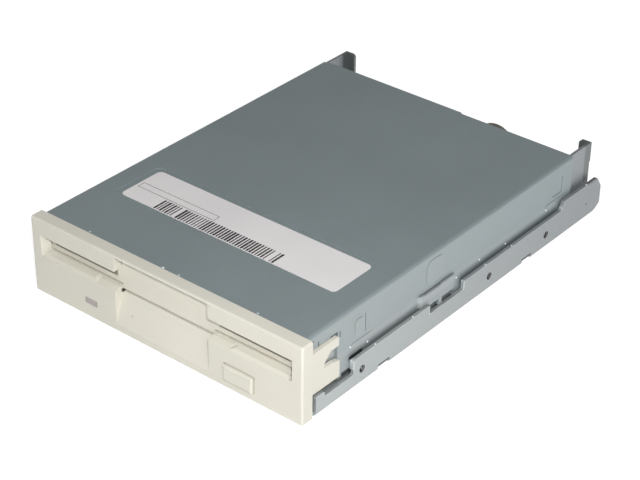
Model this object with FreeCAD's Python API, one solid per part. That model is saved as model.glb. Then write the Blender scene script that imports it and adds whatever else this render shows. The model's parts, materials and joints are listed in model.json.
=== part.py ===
import FreeCAD, Part
import math
import os

Vector = FreeCAD.Vector

# A 3.5-inch floppy disk drive, in millimetres. While it is built, x is to the right as seen from the front,
# y is the depth behind the bezel's face and z is the height above the resting plane. At the end every piece
# moves forward, so the origin is under the middle of the drive with its button.

# Whole drive
overall_width = 101.6
overall_height = 25.4
overall_depth = 146.0

# Sheets and boards
frame_sheet = 1.0
cover_sheet = 0.7
guide_sheet = 1.0
slide_sheet = 0.7
carrier_sheet = 0.7
fold_radius = 0.4           # inside radius of every fold
motor_board_sheet = 1.0
main_board_sheet = 1.2

# Clearances
cover_gap = 0.6             # rail to cover
cover_fit = 0.1             # cover to guide walls
sliding_gap = 0.2           # slide plate to what it runs on
carrier_gap = 0.4           # slide plate to disk carrier
slot_gap = 0.2              # a pin in its slot, each side
running_gap = 0.04          # a shaft in its bearing, on the radius
seat_gap = 0.1              # a screw or a fixed shaft in its hole, on the radius
lever_gap = 0.1             # a lever to what it lies on or under
board_gap = 0.4             # a board to the walls beside it

# Heights
deck_height = 4.0           # underside of the deck
disk_below_top = 11.0       # a loaded disk's underside, below the top of the drive
disk_thickness = 3.3
loading_lift = 2.0          # a disk drops this far when it is loaded
disk_clearance = 0.4        # disk to the carrier's roof
lip_clearance = 0.2         # disk to the carrier's lips

# Depths of the disk and of what stands behind it
disk_inset = 3.0            # a loaded disk's rear end behind the bezel's face
hub_depth_in_disk = 48.0    # from a disk's rear end to its hub
rear_room = 49.0            # for the head positioner and the connectors
first_track_margin = 6.5    # a disk's leading edge to its outermost track
head_travel = 14.8          # outermost to innermost track

# Side rails and flanges of the chassis
rail_height = 9.8
rail_front_height = 5.0
rail_foot_height = 6.5
rail_foot_length = 3.6
rail_rear_height = 12.6
rail_low_height = 7.0       # where the cover's tongue hooks over
rail_front = 5.7
rail_raise_rear = 22.8      # where the rail rises, before its rear end
rail_raise_run = 1.4
rail_end_slope = 2.6
rail_corner = 0.5           # radius of the rail's cut corners
raised_corner = 1.2         # where the rail steps up behind the bezel
flange_width = 7.4
flange_short = 4.5          # the flange ends this far before the rail
deck_front = 5.3
deck_short = 18.0           # the deck ends this far before the rail
low_rail = (56.0, 72.3)
rail_notches = ((19.9, 21.3, 0.6), (32.5, 38.2, 1.7), (103.0, 108.3, 1.7))   # depths and height
front_ear_width = 12.4

# Mounting holes, tapped M3
tap_radius = 1.25
collar_radius = 1.9
collar_depth = 0.5
side_hole_height = 5.0
first_side_hole = 25.4
side_hole_steps = (0.0, 60.0, 90.0)
step_up_before_hole = 3.8
bottom_hole_inset = 3.175
bottom_holes = (44.0, 114.0)
bottom_collar_height = 1.2

# Screws and rivets
screw_shank = 1.2
screw_head_radius = 1.9
screw_head_height = 0.9
rivet_radius = 1.2
boss_radius = 2.6

# Cover and its pressed forms
cover_short = 15.8          # the cover ends this far before the rail
cover_overlap = 1.5         # below the low part of the rail
label_side_margin = (7.2, 7.7)      # left and right of the label's recess
label_depths = (24.5, 44.0)
label_recess_drop = 0.22
label_recess_corner = 2.0
emboss_height = 0.2
emboss_line = (3.4, 4.1)    # a line's lower and upper edge above the rail
tongue_rise = (0.2, 4.0)    # the tongue's neck above the rail
tongue_reach = 0.3          # the tongue stands this far over the rail's outside
slit = 0.3

# Bezel
bezel_depth = 4.2
bezel_edge = 0.7
bezel_wall = 1.9
recess_to_button = 11.05    # side of the finger recess to the button's middle
recess_depth = 3.0
recess_top_wall = 0.65
recess_floor_front = 2.6
recess_below_lip = 1.75
slot_side_wall = 1.4        # slot to guide wall
slot_flare = 1.2
slot_below_top = 5.4
lip_below_disk = 0.2
lip_slope = 1.0
ledge_wider = 8.4
ledge_drop = 0.3
pocket_above_slot = 1.35
pocket_side_gap = 0.2
window_collar = 1.4
arm_length = 16.3
arm_sheet = 1.3
arm_bottom = 7.3
arm_below_top = 4.9
arm_finger = 2.9
arm_gap = 0.4

# Dust door
flap_thickness = 1.15
flap_side_gap = 0.3
flap_face_gap = 0.05
flap_top_gap = 0.15
flap_centre_gap = 0.45      # under the wall above the recess
flap_above_lip = 0.4
flap_tab_drop = 1.65
flap_chamfer = 0.4
door_pivot_depth = 4.9
door_pivot_above_flap = 1.0
door_lobe_radius = 1.2
door_lobe_width = 1.2
door_pin_radius = 0.6
door_lug_width = 1.0
door_lug_half = 1.5
door_spring_radius = 1.1
door_spring_length = 3.0

# Front controls
button_side = 22.15         # middle of the button to the drive's right side
button_width = 10.3
button_height = 4.9
button_bottom = 3.1
button_stand = 1.0          # how far it stands out at rest
button_length = 12.0
button_gap = 0.35
button_wall = 1.0
tongue_hold = 4.7           # the slide's tongue in the button
lamp_side = 23.2            # middle of the lamp to the drive's left side
lamp_width = 4.8
lamp_height = 1.9
lamp_bottom = 4.6
lamp_length = 8.0
lamp_gap = 0.1
lead_pitch = 2.54
lead_size = 0.5
deck_cut_margin = 1.0       # round the button and the lamp

# Loading mechanism
eject_travel = 6.5
carrier_front = 15.2
carrier_lip = 3.1
carrier_past_disk = 1.0
carrier_pin_radius = 1.1
front_pin_depth = 24.0
rear_pin_before_edge = 11.0
pin_below_roof = 2.1
slide_front = 18.0
slide_post_length = 19.0
slide_post_before_pin = 6.0
slide_past_pin = 13.0
slide_strip_width = 6.3
slide_low_wall = 3.6
slide_cross = (25.0, 31.0)
slide_above_carrier = 0.2
slide_tongue_width = 6.0
head_window = 9.5           # half the width of the opening for the heads
head_window_gap = 15.0      # spindle to that opening
hub_hole_radius = 9.0
latch_pivot_side = 3.7      # in from the slide's outer edge
latch_pivot_past_edge = 17.0
latch_post_radius = 1.5
latch_hub_radius = 3.4
latch_arm = 13.0
latch_arm_half = 1.7
latch_finger_side = -30.0
latch_finger_gap = 0.2
latch_swing = 7.0           # degrees
latch_pin_radius = 0.8
latch_sheet = 1.0
shutter_pivot_side = 5.4    # in from the carrier's side
shutter_pivot_before_edge = 5.0
shutter_arm_margin = 14.0   # middle of the drive to the tip's innermost place
shutter_start = 50.0        # degrees
shutter_swing = 57.0
shutter_pin_radius = 1.1
shutter_post_radius = 1.0
shutter_sheet = 0.7
spring_from_guide = 9.2
spring_post_depth = 54.0
spring_post_radius = 0.8
spring_tab_depth = 76.0
spring_height = 8.6
spring_radius = 1.5
spring_wire = 0.4

# Spindle motor
shaft_radius = 1.5
bearing_radius = 4.0
bearing_flange_radius = 7.0
rotor_below_disk = 1.4
stator_radius = 15.2
stator_ring_radius = 8.0
stator_poles = 9
pole_half = 1.1
pole_shoe_half = 3.9
coil_half = 2.0
stator_thickness = 1.8
coil_overhang = 0.6         # coil beyond the core, above and below
coil_gap = 0.4              # coil to the board
rotor_foot_gap = 0.8
magnet_gap = 0.4
magnet_wall = 1.8
rotor_wall = 0.8
chuck_radius = 11.0
drive_pin_radius = 1.6
drive_pin_offset = 8.5

# Front switches and height posts
switch_depth = 14.0
switch_half = 2.4
switch_half_length = 2.9
plunger_half = 0.9
plunger_gap = 0.15
switch_below_disk = 2.4
plunger_above_disk = 1.1
plunger_hold = 0.4          # the share of a switch that its plunger reaches into
post_radius = 1.5
post_foot_radius = 2.3

# Head positioner
rod_radius = 1.5
rod_side = -16.0
rod_height = 9.5
rod_past_rotor = 16.0
rod_past_edge = 29.0
clamp_length = 3.5
clamp_half = 3.2
bushing_length = 16.0
carriage_half_width = 9.0
carriage_bottom = 7.0
carriage_below_disk = 1.8
carriage_past_track = 5.0
post_half_width = 6.0
post_thickness = 4.0
post_gap = 0.7              # post to a disk's leading edge, heads innermost
post_ear = 1.4
head_half = 3.0
head_mount = 0.8            # the lower head's seat above the disk's underside
head_rail = 0.25
arm_swing = 11.0            # degrees between the raised and the closed upper arm
arm_over_disk = 0.4
arm_sheet_height = 1.0
arm_pivot_above_disk = 6.0
arm_pin_radius = 0.8
screw_side = 17.0
screw_radius = 2.0
screw_core_radius = 1.45
screw_pitch = 3.0
screw_tip_radius = 1.0
follower_radius = 0.6
stepper_above_deck = 2.5
stepper_below_cover = 2.2
stepper_length = 17.6
bracket_foot = (21.6, 25.6)
bracket_sheet = 1.0
bracket_gap = 2.5           # bracket to the carriage's post, heads outermost
bush_radius = 2.0

# Main board, its connectors and the head cable
main_board_gap = 0.6
signal_pin_count = 34
signal_pitch = 2.54
signal_pin_size = 0.64
signal_end_room = 4.82      # both ends of the shell, beyond its pins' pitch
signal_side_gap = 0.6
signal_height = 8.8
connector_before_rear = 12.5
connector_length = 10.0
connector_wall = 1.2
key_half = 2.3
power_pin_count = 4
power_pitch = 2.5
power_pin_size = 0.8
power_end_room = 1.8
power_side = 9.0            # middle of the connector to the flange's step
power_height = 6.2
pin_tip_inset = 1.6
cable_sheet = 0.3
cable_half = 4.0
cable_depth = 10.0          # behind the heads
chip_spots = ((-8.0, 13.0), (20.0, 11.0), (-30.0, 15.0))                  # across, and past the disk's edge
chip_sizes = ((14.0, 12.0, 1.6), (11.0, 7.0, 1.5), (9.0, 6.0, 1.5))       # width, length and height
chip_leg_counts = (9, 7, 6)
chip_leg_pitch = 1.4

# Values that follow from the ones above, from the rails inwards
rail_outer = overall_width / 2
rail_inner = rail_outer - frame_sheet
cover_outer = rail_inner - cover_gap
cover_inner = cover_outer - cover_sheet
guide_outer = cover_inner - cover_fit
guide_inner = guide_outer - guide_sheet
slide_outer = guide_inner - sliding_gap
slide_inner = slide_outer - slide_sheet
carrier_outer = slide_inner - carrier_gap
carrier_inner = carrier_outer - carrier_sheet
step_inner = rail_outer - flange_width
slot_half_width = guide_inner - slot_side_wall
button_centre = rail_outer - button_side
lamp_centre = lamp_side - rail_outer
recess_half_width = button_centre - recess_to_button
ledge_half_width = recess_half_width + ledge_wider
spring_side = guide_inner - spring_from_guide
rivet_side = guide_inner - 5.5
clamp_screw_side = rod_side - 5.4
bracket_screw_side = sum(bracket_foot) / 2

# From the deck upwards
deck_top = deck_height + frame_sheet
board_top = deck_top + motor_board_sheet
foot_top = deck_top + guide_sheet
slide_floor = foot_top + sliding_gap
slide_top = slide_floor + slide_sheet
main_board_top = deck_height - main_board_gap
main_board_bottom = main_board_top - main_board_sheet
latch_base = slide_top + 0.3

# From the cover downwards
cover_underside = overall_height - cover_sheet
disk_level = overall_height - disk_below_top
raised_level = disk_level + loading_lift
carrier_roof = raised_level + disk_thickness + disk_clearance
carrier_top = carrier_roof + carrier_sheet
carrier_pin_height = carrier_roof - pin_below_roof
slide_wall_top = carrier_top + slide_above_carrier
lip_top = raised_level - lip_clearance
lip_bottom = lip_top - carrier_sheet
slot_top = overall_height - slot_below_top
slot_lip = disk_level - lip_below_disk
lip_front = slot_lip - lip_slope
recess_floor_back = slot_lip - recess_below_lip
flap_pocket_top = slot_top + pocket_above_slot
flap_top = flap_pocket_top - flap_top_gap
flap_centre_top = overall_height - recess_top_wall - flap_centre_gap
flap_bottom = slot_lip + flap_above_lip
flap_tab_bottom = flap_bottom - flap_tab_drop
door_pivot_height = flap_top + door_pivot_above_flap
arm_top = overall_height - arm_below_top
chuck_top = disk_level + 0.3
rotor_top = disk_level - rotor_below_disk
rotor_inner_top = rotor_top - rotor_wall
stator_bottom = board_top + coil_gap + coil_overhang
stator_top = stator_bottom + stator_thickness
rotor_radius = stator_radius + magnet_gap + magnet_wall + rotor_wall
switch_top = disk_level - switch_below_disk
plunger_top = disk_level + plunger_above_disk
arm_level = disk_level + disk_thickness + arm_over_disk
arm_pivot_height = disk_level + arm_pivot_above_disk
stepper_radius = (cover_underside - stepper_below_cover - deck_top - stepper_above_deck) / 2
screw_axis_height = deck_top + stepper_above_deck + stepper_radius

# Along the drive
cover_rear = overall_depth - cover_short
flange_rear = overall_depth - flange_short
deck_rear = overall_depth - deck_short
disk_edge = overall_depth - rear_room
spindle_depth = disk_inset + hub_depth_in_disk
head_depth = disk_edge - first_track_margin
carrier_rear = disk_edge + carrier_past_disk
rear_pin_depth = disk_edge - rear_pin_before_edge
carrier_pin_depths = (front_pin_depth, rear_pin_depth)
slide_rear = rear_pin_depth + slide_past_pin
latch_pivot = (latch_pivot_side - slide_outer, disk_edge + latch_pivot_past_edge)
shutter_pivot = (carrier_inner - shutter_pivot_side, disk_edge - shutter_pivot_before_edge)
shutter_arm = shutter_pivot[0] - shutter_arm_margin
rod_front = spindle_depth + rod_past_rotor
rod_rear = disk_edge + rod_past_edge
clamp_depths = (rod_front + clamp_length / 2, rod_rear - clamp_length / 2)
post_front = disk_edge + head_travel + post_gap
post_rear = post_front + post_thickness
arm_pivot_depth = post_front + 0.5
follower_depth = post_front + 2.5
bracket_front = post_rear + bracket_gap
bracket_rear = bracket_front + bracket_sheet
stepper_rear = bracket_rear + stepper_length
bearing_ear_front = disk_edge + 0.6
bearing_ear_rear = bearing_ear_front + bracket_sheet
bracket_screw_depths = (disk_edge + 5.5, disk_edge + 18.0)
connector_front = overall_depth - connector_before_rear
connector_rear = connector_front + connector_length
signal_width = signal_pin_count / 2 * signal_pitch + signal_end_room
signal_left = signal_side_gap - step_inner
power_width = power_pin_count * power_pitch + power_end_room
power_centre = step_inner - power_side

# Places that several pieces share
board_screw_side = step_inner - 5.4
board_screw_depths = (disk_edge + 1.0, disk_edge + 26.0)
board_screw_spots = [(side * board_screw_side, y) for y in board_screw_depths for side in (-1, 1)]
motor_screw_spots = [
    (11.4 - guide_inner, spindle_depth - 13.0), (guide_inner - 11.4, spindle_depth - 13.0),
    (-23.5, spindle_depth + 9.0), (23.5, spindle_depth + 9.0),
]
rivet_depths = (12.0, 46.0, 74.0, overall_depth - 24.0)
post_spots = [
    (-14.0, 12.0), (14.0, 12.0),
    (14.4 - guide_inner, disk_edge - 6.0), (guide_inner - 14.4, disk_edge - 6.0),
]
switch_spots = {
    "write_protect": 10.0 - guide_inner,
    "density": guide_inner - 10.0,
    "disk_in": 15.2 - guide_inner,
}


# Basic forms

def box(x0, x1, y0, y1, z0, z1):
    """A block between three pairs of coordinates."""
    return Part.makeBox(x1 - x0, y1 - y0, z1 - z0, Vector(x0, y0, z0))


def round_x(radius, x0, x1, y, z):
    """A round bar along x."""
    return Part.makeCylinder(radius, x1 - x0, Vector(x0, y, z), Vector(1, 0, 0))


def round_y(radius, y0, y1, x, z):
    """A round bar along y."""
    return Part.makeCylinder(radius, y1 - y0, Vector(x, y0, z), Vector(0, 1, 0))


def round_z(radius, z0, z1, x, y):
    """A round bar along z."""
    return Part.makeCylinder(radius, z1 - z0, Vector(x, y, z0), Vector(0, 0, 1))


def fuse(pieces):
    """One solid from several that touch or overlap."""
    whole = pieces[0].multiFuse(pieces[1:])
    return whole.removeSplitter()


def cut(body, tools):
    """A body less a list of others, which are joined first."""
    return body.cut(tools[0].multiFuse(tools[1:]) if len(tools) > 1 else tools[0])


def mirrored(shape):
    """The same shape on the other side of the drive."""
    return shape.mirror(Vector(0, 0, 0), Vector(1, 0, 0))


def with_mirrored(shapes):
    """Right-hand shapes and the same ones on the left."""
    return shapes + [mirrored(shape) for shape in shapes]


def screw_hole(x, y, z0, z1):
    """The hole for a screw's shank, along z."""
    return round_z(screw_shank + seat_gap, z0, z1, x, y)


def outline(points, radii, lift):
    """A closed wire through flat points whose corners are rounded by their radii."""
    count = len(points)
    if not isinstance(radii, (list, tuple)):
        radii = [radii] * count
    entries = []
    exits = []
    middles = []
    for i in range(count):
        here = Vector(points[i][0], points[i][1], 0)
        before = Vector(points[i - 1][0], points[i - 1][1], 0) - here
        after = Vector(points[(i + 1) % count][0], points[(i + 1) % count][1], 0) - here
        before.normalize()
        after.normalize()
        half = before.getAngle(after) / 2
        radius = radii[i]
        reach = radius / math.tan(half)
        inward = before + after
        entries.append(here + before * reach)
        exits.append(here + after * reach)
        if radius > 0:
            inward.normalize()
            middles.append(here + inward * (radius / math.sin(half) - radius))
        else:
            middles.append(here)
    edges = []
    for i in range(count):
        if radii[i] > 0:
            arc = Part.Arc(lift(entries[i]), lift(middles[i]), lift(exits[i]))
            edges.append(arc.toShape())
        start = exits[i]
        end = entries[(i + 1) % count]
        if (end - start).Length > 1e-6:
            edges.append(Part.LineSegment(lift(start), lift(end)).toShape())
    return Part.Wire(edges)


def plate_x(points, x0, x1, radii=0):
    """A plate square to x; its outline is in (y, z)."""
    wire = outline(points, radii, lambda p: Vector(x0, p.x, p.y))
    return Part.Face(wire).extrude(Vector(x1 - x0, 0, 0))


def plate_y(points, y0, y1, radii=0):
    """A plate square to y; its outline is in (x, z)."""
    wire = outline(points, radii, lambda p: Vector(p.x, y0, p.y))
    return Part.Face(wire).extrude(Vector(0, y1 - y0, 0))


def plate_z(points, z0, z1, radii=0):
    """A plate square to z; its outline is in (x, y)."""
    wire = outline(points, radii, lambda p: Vector(p.x, p.y, z0))
    return Part.Face(wire).extrude(Vector(0, 0, z1 - z0))


def rectangle(u0, u1, v0, v1):
    """The corners of a rectangle."""
    return [(u0, v0), (u1, v0), (u1, v1), (u0, v1)]


def bent_sheet(path, sheet, y0, y1):
    """A sheet folded along y. The path, in (x, z), is one face and the metal lies on its left."""
    last = len(path) - 1
    near = []
    far = []
    near_radii = []
    far_radii = []
    for i in range(last + 1):
        here = Vector(path[i][0], path[i][1], 0)
        after = Vector(path[min(i + 1, last)][0], path[min(i + 1, last)][1], 0) - here
        before = here - Vector(path[max(i - 1, 0)][0], path[max(i - 1, 0)][1], 0)
        if i == last:
            after = before
        if i == 0:
            before = after
        after.normalize()
        before.normalize()
        left_before = Vector(-before.y, before.x, 0)
        left_after = Vector(-after.y, after.x, 0)
        shift = (left_before + left_after) * (sheet / (1 + left_before.dot(left_after)))
        turn = before.x * after.y - before.y * after.x
        folded = abs(turn) > 1e-6
        near.append((here.x, here.y))
        far.append((here.x + shift.x, here.y + shift.y))
        near_radii.append(fold_radius + (sheet if turn > 0 else 0) if folded else 0)
        far_radii.append(fold_radius + (sheet if turn < 0 else 0) if folded else 0)
    return plate_y(near + far[::-1], y0, y1, near_radii + far_radii[::-1])


def long_hole(start, end, radius, low, high, along_x):
    """A round-ended slot between two flat points, cut along x in (y, z) or along z in (x, y)."""
    along = Vector(end[0] - start[0], end[1] - start[1], 0)
    along.normalize()
    side = Vector(-along.y, along.x, 0) * radius
    corners = [
        (start[0] + side.x, start[1] + side.y), (start[0] - side.x, start[1] - side.y),
        (end[0] - side.x, end[1] - side.y), (end[0] + side.x, end[1] + side.y),
    ]
    if along_x:
        ends = [round_x(radius, low, high, *spot) for spot in (start, end)]
        return plate_x(corners, low, high).multiFuse(ends)
    ends = [round_z(radius, low, high, *spot) for spot in (start, end)]
    return plate_z(corners, low, high).multiFuse(ends)


def side_slot(start, end, radius, x0, x1):
    """A round-ended slot through x from one (y, z) point to another."""
    return long_hole(start, end, radius, x0, x1, True)


def flat_slot(start, end, radius, z0, z1):
    """A round-ended slot through z from one (x, y) point to another."""
    return long_hole(start, end, radius, z0, z1, False)


def screw(x, y, seat, length, up=True):
    """A pan-head screw on its seat, with a cross recess. Its shank points down, or up if up is false."""
    way = 1 if up else -1
    top = seat + way * screw_head_height
    head = Part.makeCylinder(screw_head_radius, screw_head_height, Vector(x, y, seat), Vector(0, 0, way))
    rim = [e for e in head.Edges if abs(e.Vertexes[0].Z - top) < 1e-6 and len(e.Vertexes) == 1]
    head = head.makeFillet(screw_head_height * 0.45, rim)
    shank = Part.makeCylinder(screw_shank, length, Vector(x, y, seat), Vector(0, 0, -way))
    low, high = sorted((top, top - way * screw_head_height * 0.6))
    slot_long = screw_head_radius * 0.6
    slot_wide = screw_head_radius * 0.14
    recess = [
        box(x - slot_long, x + slot_long, y - slot_wide, y + slot_wide, low, high),
        box(x - slot_wide, x + slot_wide, y - slot_long, y + slot_long, low, high),
    ]
    return cut(fuse([head, shank]), recess)


# Chassis and guide walls

def rail_outline():
    """The side rail's outline, in (y, z), from the front of its foot round to the rear."""
    step_up = first_side_hole - step_up_before_hole
    foot_rear = rail_front + rail_foot_length
    raise_front = overall_depth - rail_raise_rear
    return [
        (rail_front, 0.0), (rail_front, rail_foot_height), (foot_rear, rail_foot_height),
        (foot_rear, rail_front_height), (step_up, rail_front_height), (step_up, rail_height),
        (low_rail[0], rail_height), (low_rail[0], rail_low_height), (low_rail[1], rail_low_height),
        (low_rail[1], rail_height), (raise_front, rail_height),
        (raise_front + rail_raise_run, rail_rear_height), (overall_depth - rail_end_slope, rail_rear_height),
        (overall_depth, rail_height - 1.0), (overall_depth, 2.7), (flange_rear, 0.0),
    ]


def rail_radii():
    """The radii of the rail outline's corners, in the same order."""
    radii = [rail_corner] * len(rail_outline())
    radii[0] = 0
    radii[-1] = 0
    radii[5] = raised_corner
    radii[12] = raised_corner
    return radii


def deck_openings():
    """What is cut out of the deck: the bearing, the controls, the head carriage, the cable and weight."""
    low = deck_height - 1.0
    high = deck_top + 1.0
    button_half = button_width / 2 + deck_cut_margin
    lamp_half = lamp_width / 2 + deck_cut_margin
    window_rear = disk_edge - 5.0
    window_middle = (rod_front + window_rear) / 2
    return [
        round_z(bearing_radius + seat_gap, low, high, 0, spindle_depth),
        box(button_centre - button_half, button_centre + button_half, 0, button_length + 2.5,
            button_bottom - 0.6, high),
        box(lamp_centre - lamp_half, lamp_centre + lamp_half, 0, lamp_length + deck_cut_margin,
            lamp_bottom - 0.6, high),
        plate_z(rectangle(-8.0, 8.0, spindle_depth + 24.0, post_rear - 0.5), low, high, 1.5),
        plate_z(rectangle(-31.0, -23.0, window_middle - 3.5, window_rear), low, high, 2.0),
        plate_z(rectangle(13.0, 30.0, window_middle - 5.5, window_rear), low, high, 2.0),
        plate_z(rectangle(-34.0, -20.0, disk_edge + 16.5, disk_edge + 22.0), low, high, 1.0),
        round_z(3.0, low, high, -30.0, spindle_depth - 21.0),
        round_z(3.0, low, high, 30.0, spindle_depth - 21.0),
        box(-step_inner, step_inner, deck_rear, overall_depth + 1, low, high),
    ]


def chassis_frame():
    """The pressed frame: a deck, a step down to a flange on each side and a rail that turns up."""
    half = rail_outer
    path = [
        (-half, rail_rear_height), (-half, 0.0), (-step_inner, 0.0), (-step_inner, deck_height),
        (step_inner, deck_height), (step_inner, 0.0), (half, 0.0), (half, rail_rear_height),
    ]
    frame = bent_sheet(path, frame_sheet, deck_front, overall_depth)
    # Each rail is trimmed to its outline, and the flange ends before the rail does.
    trim = box(rail_inner, half + 1, 0, overall_depth + 1, -1, rail_rear_height + 1)
    trim = trim.cut(plate_x(rail_outline(), rail_inner - 1, half + 2, rail_radii()))
    flange_end = box(step_inner - 1, rail_inner, flange_rear, overall_depth + 1, -1, deck_top + 1)
    right = [trim, flange_end]
    for y0, y1, height in rail_notches:
        right.append(box(rail_inner - 0.3, half + 1, y0, y1, -1, height))
    # The front lip stands down behind the bezel and turns out to the rails.
    lip_half = half - 0.4
    lip_front = deck_front - frame_sheet
    lip = box(-lip_half, lip_half, lip_front, deck_front, 0.5, deck_top)
    ear = box(lip_half - front_ear_width, lip_half, lip_front, deck_front, 0.5, rail_foot_height - 0.2)
    # Where the rail steps up its front edge is folded in, for stiffness.
    step_up = first_side_hole - step_up_before_hole
    turned = plate_y(
        rectangle(rail_inner - 0.5, rail_inner + 0.2, rail_front_height + 1.4, rail_height - 0.2),
        step_up, step_up + frame_sheet, [0.3, 0, 0, 0.4],
    )
    collars = []
    holes = []
    for step in side_hole_steps:
        y = first_side_hole + step
        collars.append(round_x(collar_radius, rail_inner - collar_depth, rail_inner, y, side_hole_height))
        holes.append(round_x(tap_radius, rail_inner - 1, half + 1, y, side_hole_height))
    for y in bottom_holes:
        x = half - bottom_hole_inset
        collars.append(round_z(collar_radius, frame_sheet, frame_sheet + bottom_collar_height, x, y))
        holes.append(round_z(tap_radius, -1, deck_height, x, y))
    bosses = [round_z(boss_radius, main_board_top, deck_height, x, y) for x, y in board_screw_spots]
    screws = board_screw_spots + motor_screw_spots
    screws += [(bracket_screw_side, y) for y in bracket_screw_depths]
    screws += [(clamp_screw_side, y) for y in clamp_depths]
    right += [round_z(rivet_radius, 0, deck_top + 1, rivet_side, y) for y in rivet_depths]
    tools = with_mirrored(right + holes) + [screw_hole(x, y, 0, deck_top + 1) for x, y in screws]
    solids = [frame, lip] + with_mirrored([ear, turned] + collars) + bosses
    return cut(fuse(solids), tools + deck_openings())


def guide_wall():
    """The right-hand guide wall: a foot on the deck, slots for the carrier's pins and a rear ear."""
    inside = guide_inner - 1
    outside = guide_outer + 1
    top = cover_underside - fold_radius
    ear_top = overall_height - 0.4
    ear_bottom = rail_rear_height + 0.8
    ear_front = cover_rear + 0.8
    rear = flange_rear + 0.4
    foot_inner = guide_inner - 7.0
    path = [(foot_inner, deck_top), (guide_outer, deck_top), (guide_outer, ear_top)]
    wall = bent_sheet(path, guide_sheet, bezel_depth + 2.8, rear)
    ear = rectangle(guide_inner - 3.0, guide_outer, ear_bottom, ear_top)
    ear_flange = plate_y(ear, rear - guide_sheet, rear, [0.5, 0, 0, 1.2])
    window_heights = (foot_top + 5.5, cover_underside - 3.2)
    front_window = rectangle(front_pin_depth + 12.0, rear_pin_depth - 10.0, *window_heights)
    rear_window = rectangle(rear_pin_depth + 10.0, latch_pivot[1] + 3.0, *window_heights)
    tools = [
        box(foot_inner - 1, outside, 0, ear_front, top, overall_height + 1),
        box(foot_inner - 1, outside, deck_rear, overall_depth, 0, foot_top + 0.4),
        plate_x(front_window, inside, outside, 2.0),
        plate_x(rear_window, inside, outside, 2.0),
        box(inside, outside, rear - 0.35, rear + 1, 0, ear_bottom + 5.0),
    ]
    for y in carrier_pin_depths:
        tools.append(side_slot((y, carrier_pin_height - loading_lift), (y, carrier_pin_height),
                               carrier_pin_radius + slot_gap, inside, outside))
    tools += [round_z(rivet_radius, 0, foot_top + 1, rivet_side, y) for y in rivet_depths]
    return cut(fuse([wall, ear_flange]), tools)


def left_guide_wall():
    """The left-hand guide wall, which also has the hole for the latch lever's post."""
    return cut(mirrored(guide_wall()), [round_z(latch_post_radius, 0, foot_top + 1, *latch_pivot)])


def guide_rivets():
    """Flush rivets that hold both guide walls to the deck."""
    rivets = []
    for y in rivet_depths:
        rivets.append(round_z(rivet_radius, deck_height - 0.4, foot_top, rivet_side, y))
    return with_mirrored(rivets)


# Cover

def label_field(z0, z1, grow):
    """The outline of the label's recess as a block, larger all round by grow."""
    left, right = label_side_margin
    corners = rectangle(left - cover_outer - grow, cover_outer - right + grow,
                        label_depths[0] - grow, label_depths[1] + grow)
    return plate_z(corners, z0, z1, label_recess_corner + grow)


def side_fields():
    """The pressed fields of the cover's side: depth from and to, height from and to."""
    line = (rail_height + emboss_line[0], rail_height + emboss_line[1])
    return [
        (23.8, 27.6, rail_height + 6.0, overall_height - 4.6),
        (22.5, 31.3) + line,
        (low_rail[0], low_rail[0] + 8.0, rail_height + 5.7, overall_height - 2.2),
        (cover_rear - 13.7, cover_rear - 5.2) + line,
    ]


def side_emboss(y0, y1, z0, z1, x0, shrink):
    """A rounded field pressed out of the cover's right side, from x0 outwards."""
    corners = rectangle(y0 + shrink, y1 - shrink, z0 + shrink, z1 - shrink)
    corner = min(y1 - y0, z1 - z0) * 0.3 - shrink
    return plate_x(corners, x0, x0 + emboss_height, corner)


def side_tongue():
    """The tongue of the cover's right side: it passes out over the rail's low part and hooks on it."""
    reach = cover_outer + cover_gap + tongue_reach
    inner = reach - cover_sheet
    front = low_rail[0] - 3.0
    rear = low_rail[1] - 4.0
    low = rail_height + tongue_rise[0]
    high = rail_height + tongue_rise[1]
    hook_top = rail_height - 0.6
    neck = plate_z(
        [(cover_inner, front - 1.0), (cover_outer, front - 1.0), (reach, front), (reach, rear),
         (cover_outer, rear + 1.0), (cover_inner, rear + 1.0)],
        low, high,
    )
    hollow = plate_z(
        [(cover_inner - 1, front - 1.0), (cover_inner, front - 1.0), (inner, front + 0.1),
         (inner, rear - 0.1), (cover_inner, rear + 1.0), (cover_inner - 1, rear + 1.0)],
        low - 1, high + 1,
    )
    lip = box(inner, reach, low_rail[0] + 0.6, rear, hook_top, low)
    hook = box(inner, reach, low_rail[0] + 5.0, low_rail[0] + 6.6, rail_low_height + 0.2, hook_top)
    clear = box(cover_inner - 1, cover_outer + 2, front - 1.0, rear + 1.0, 0, high)
    return fuse([cut(neck, [hollow]), lip, hook]), clear


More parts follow.
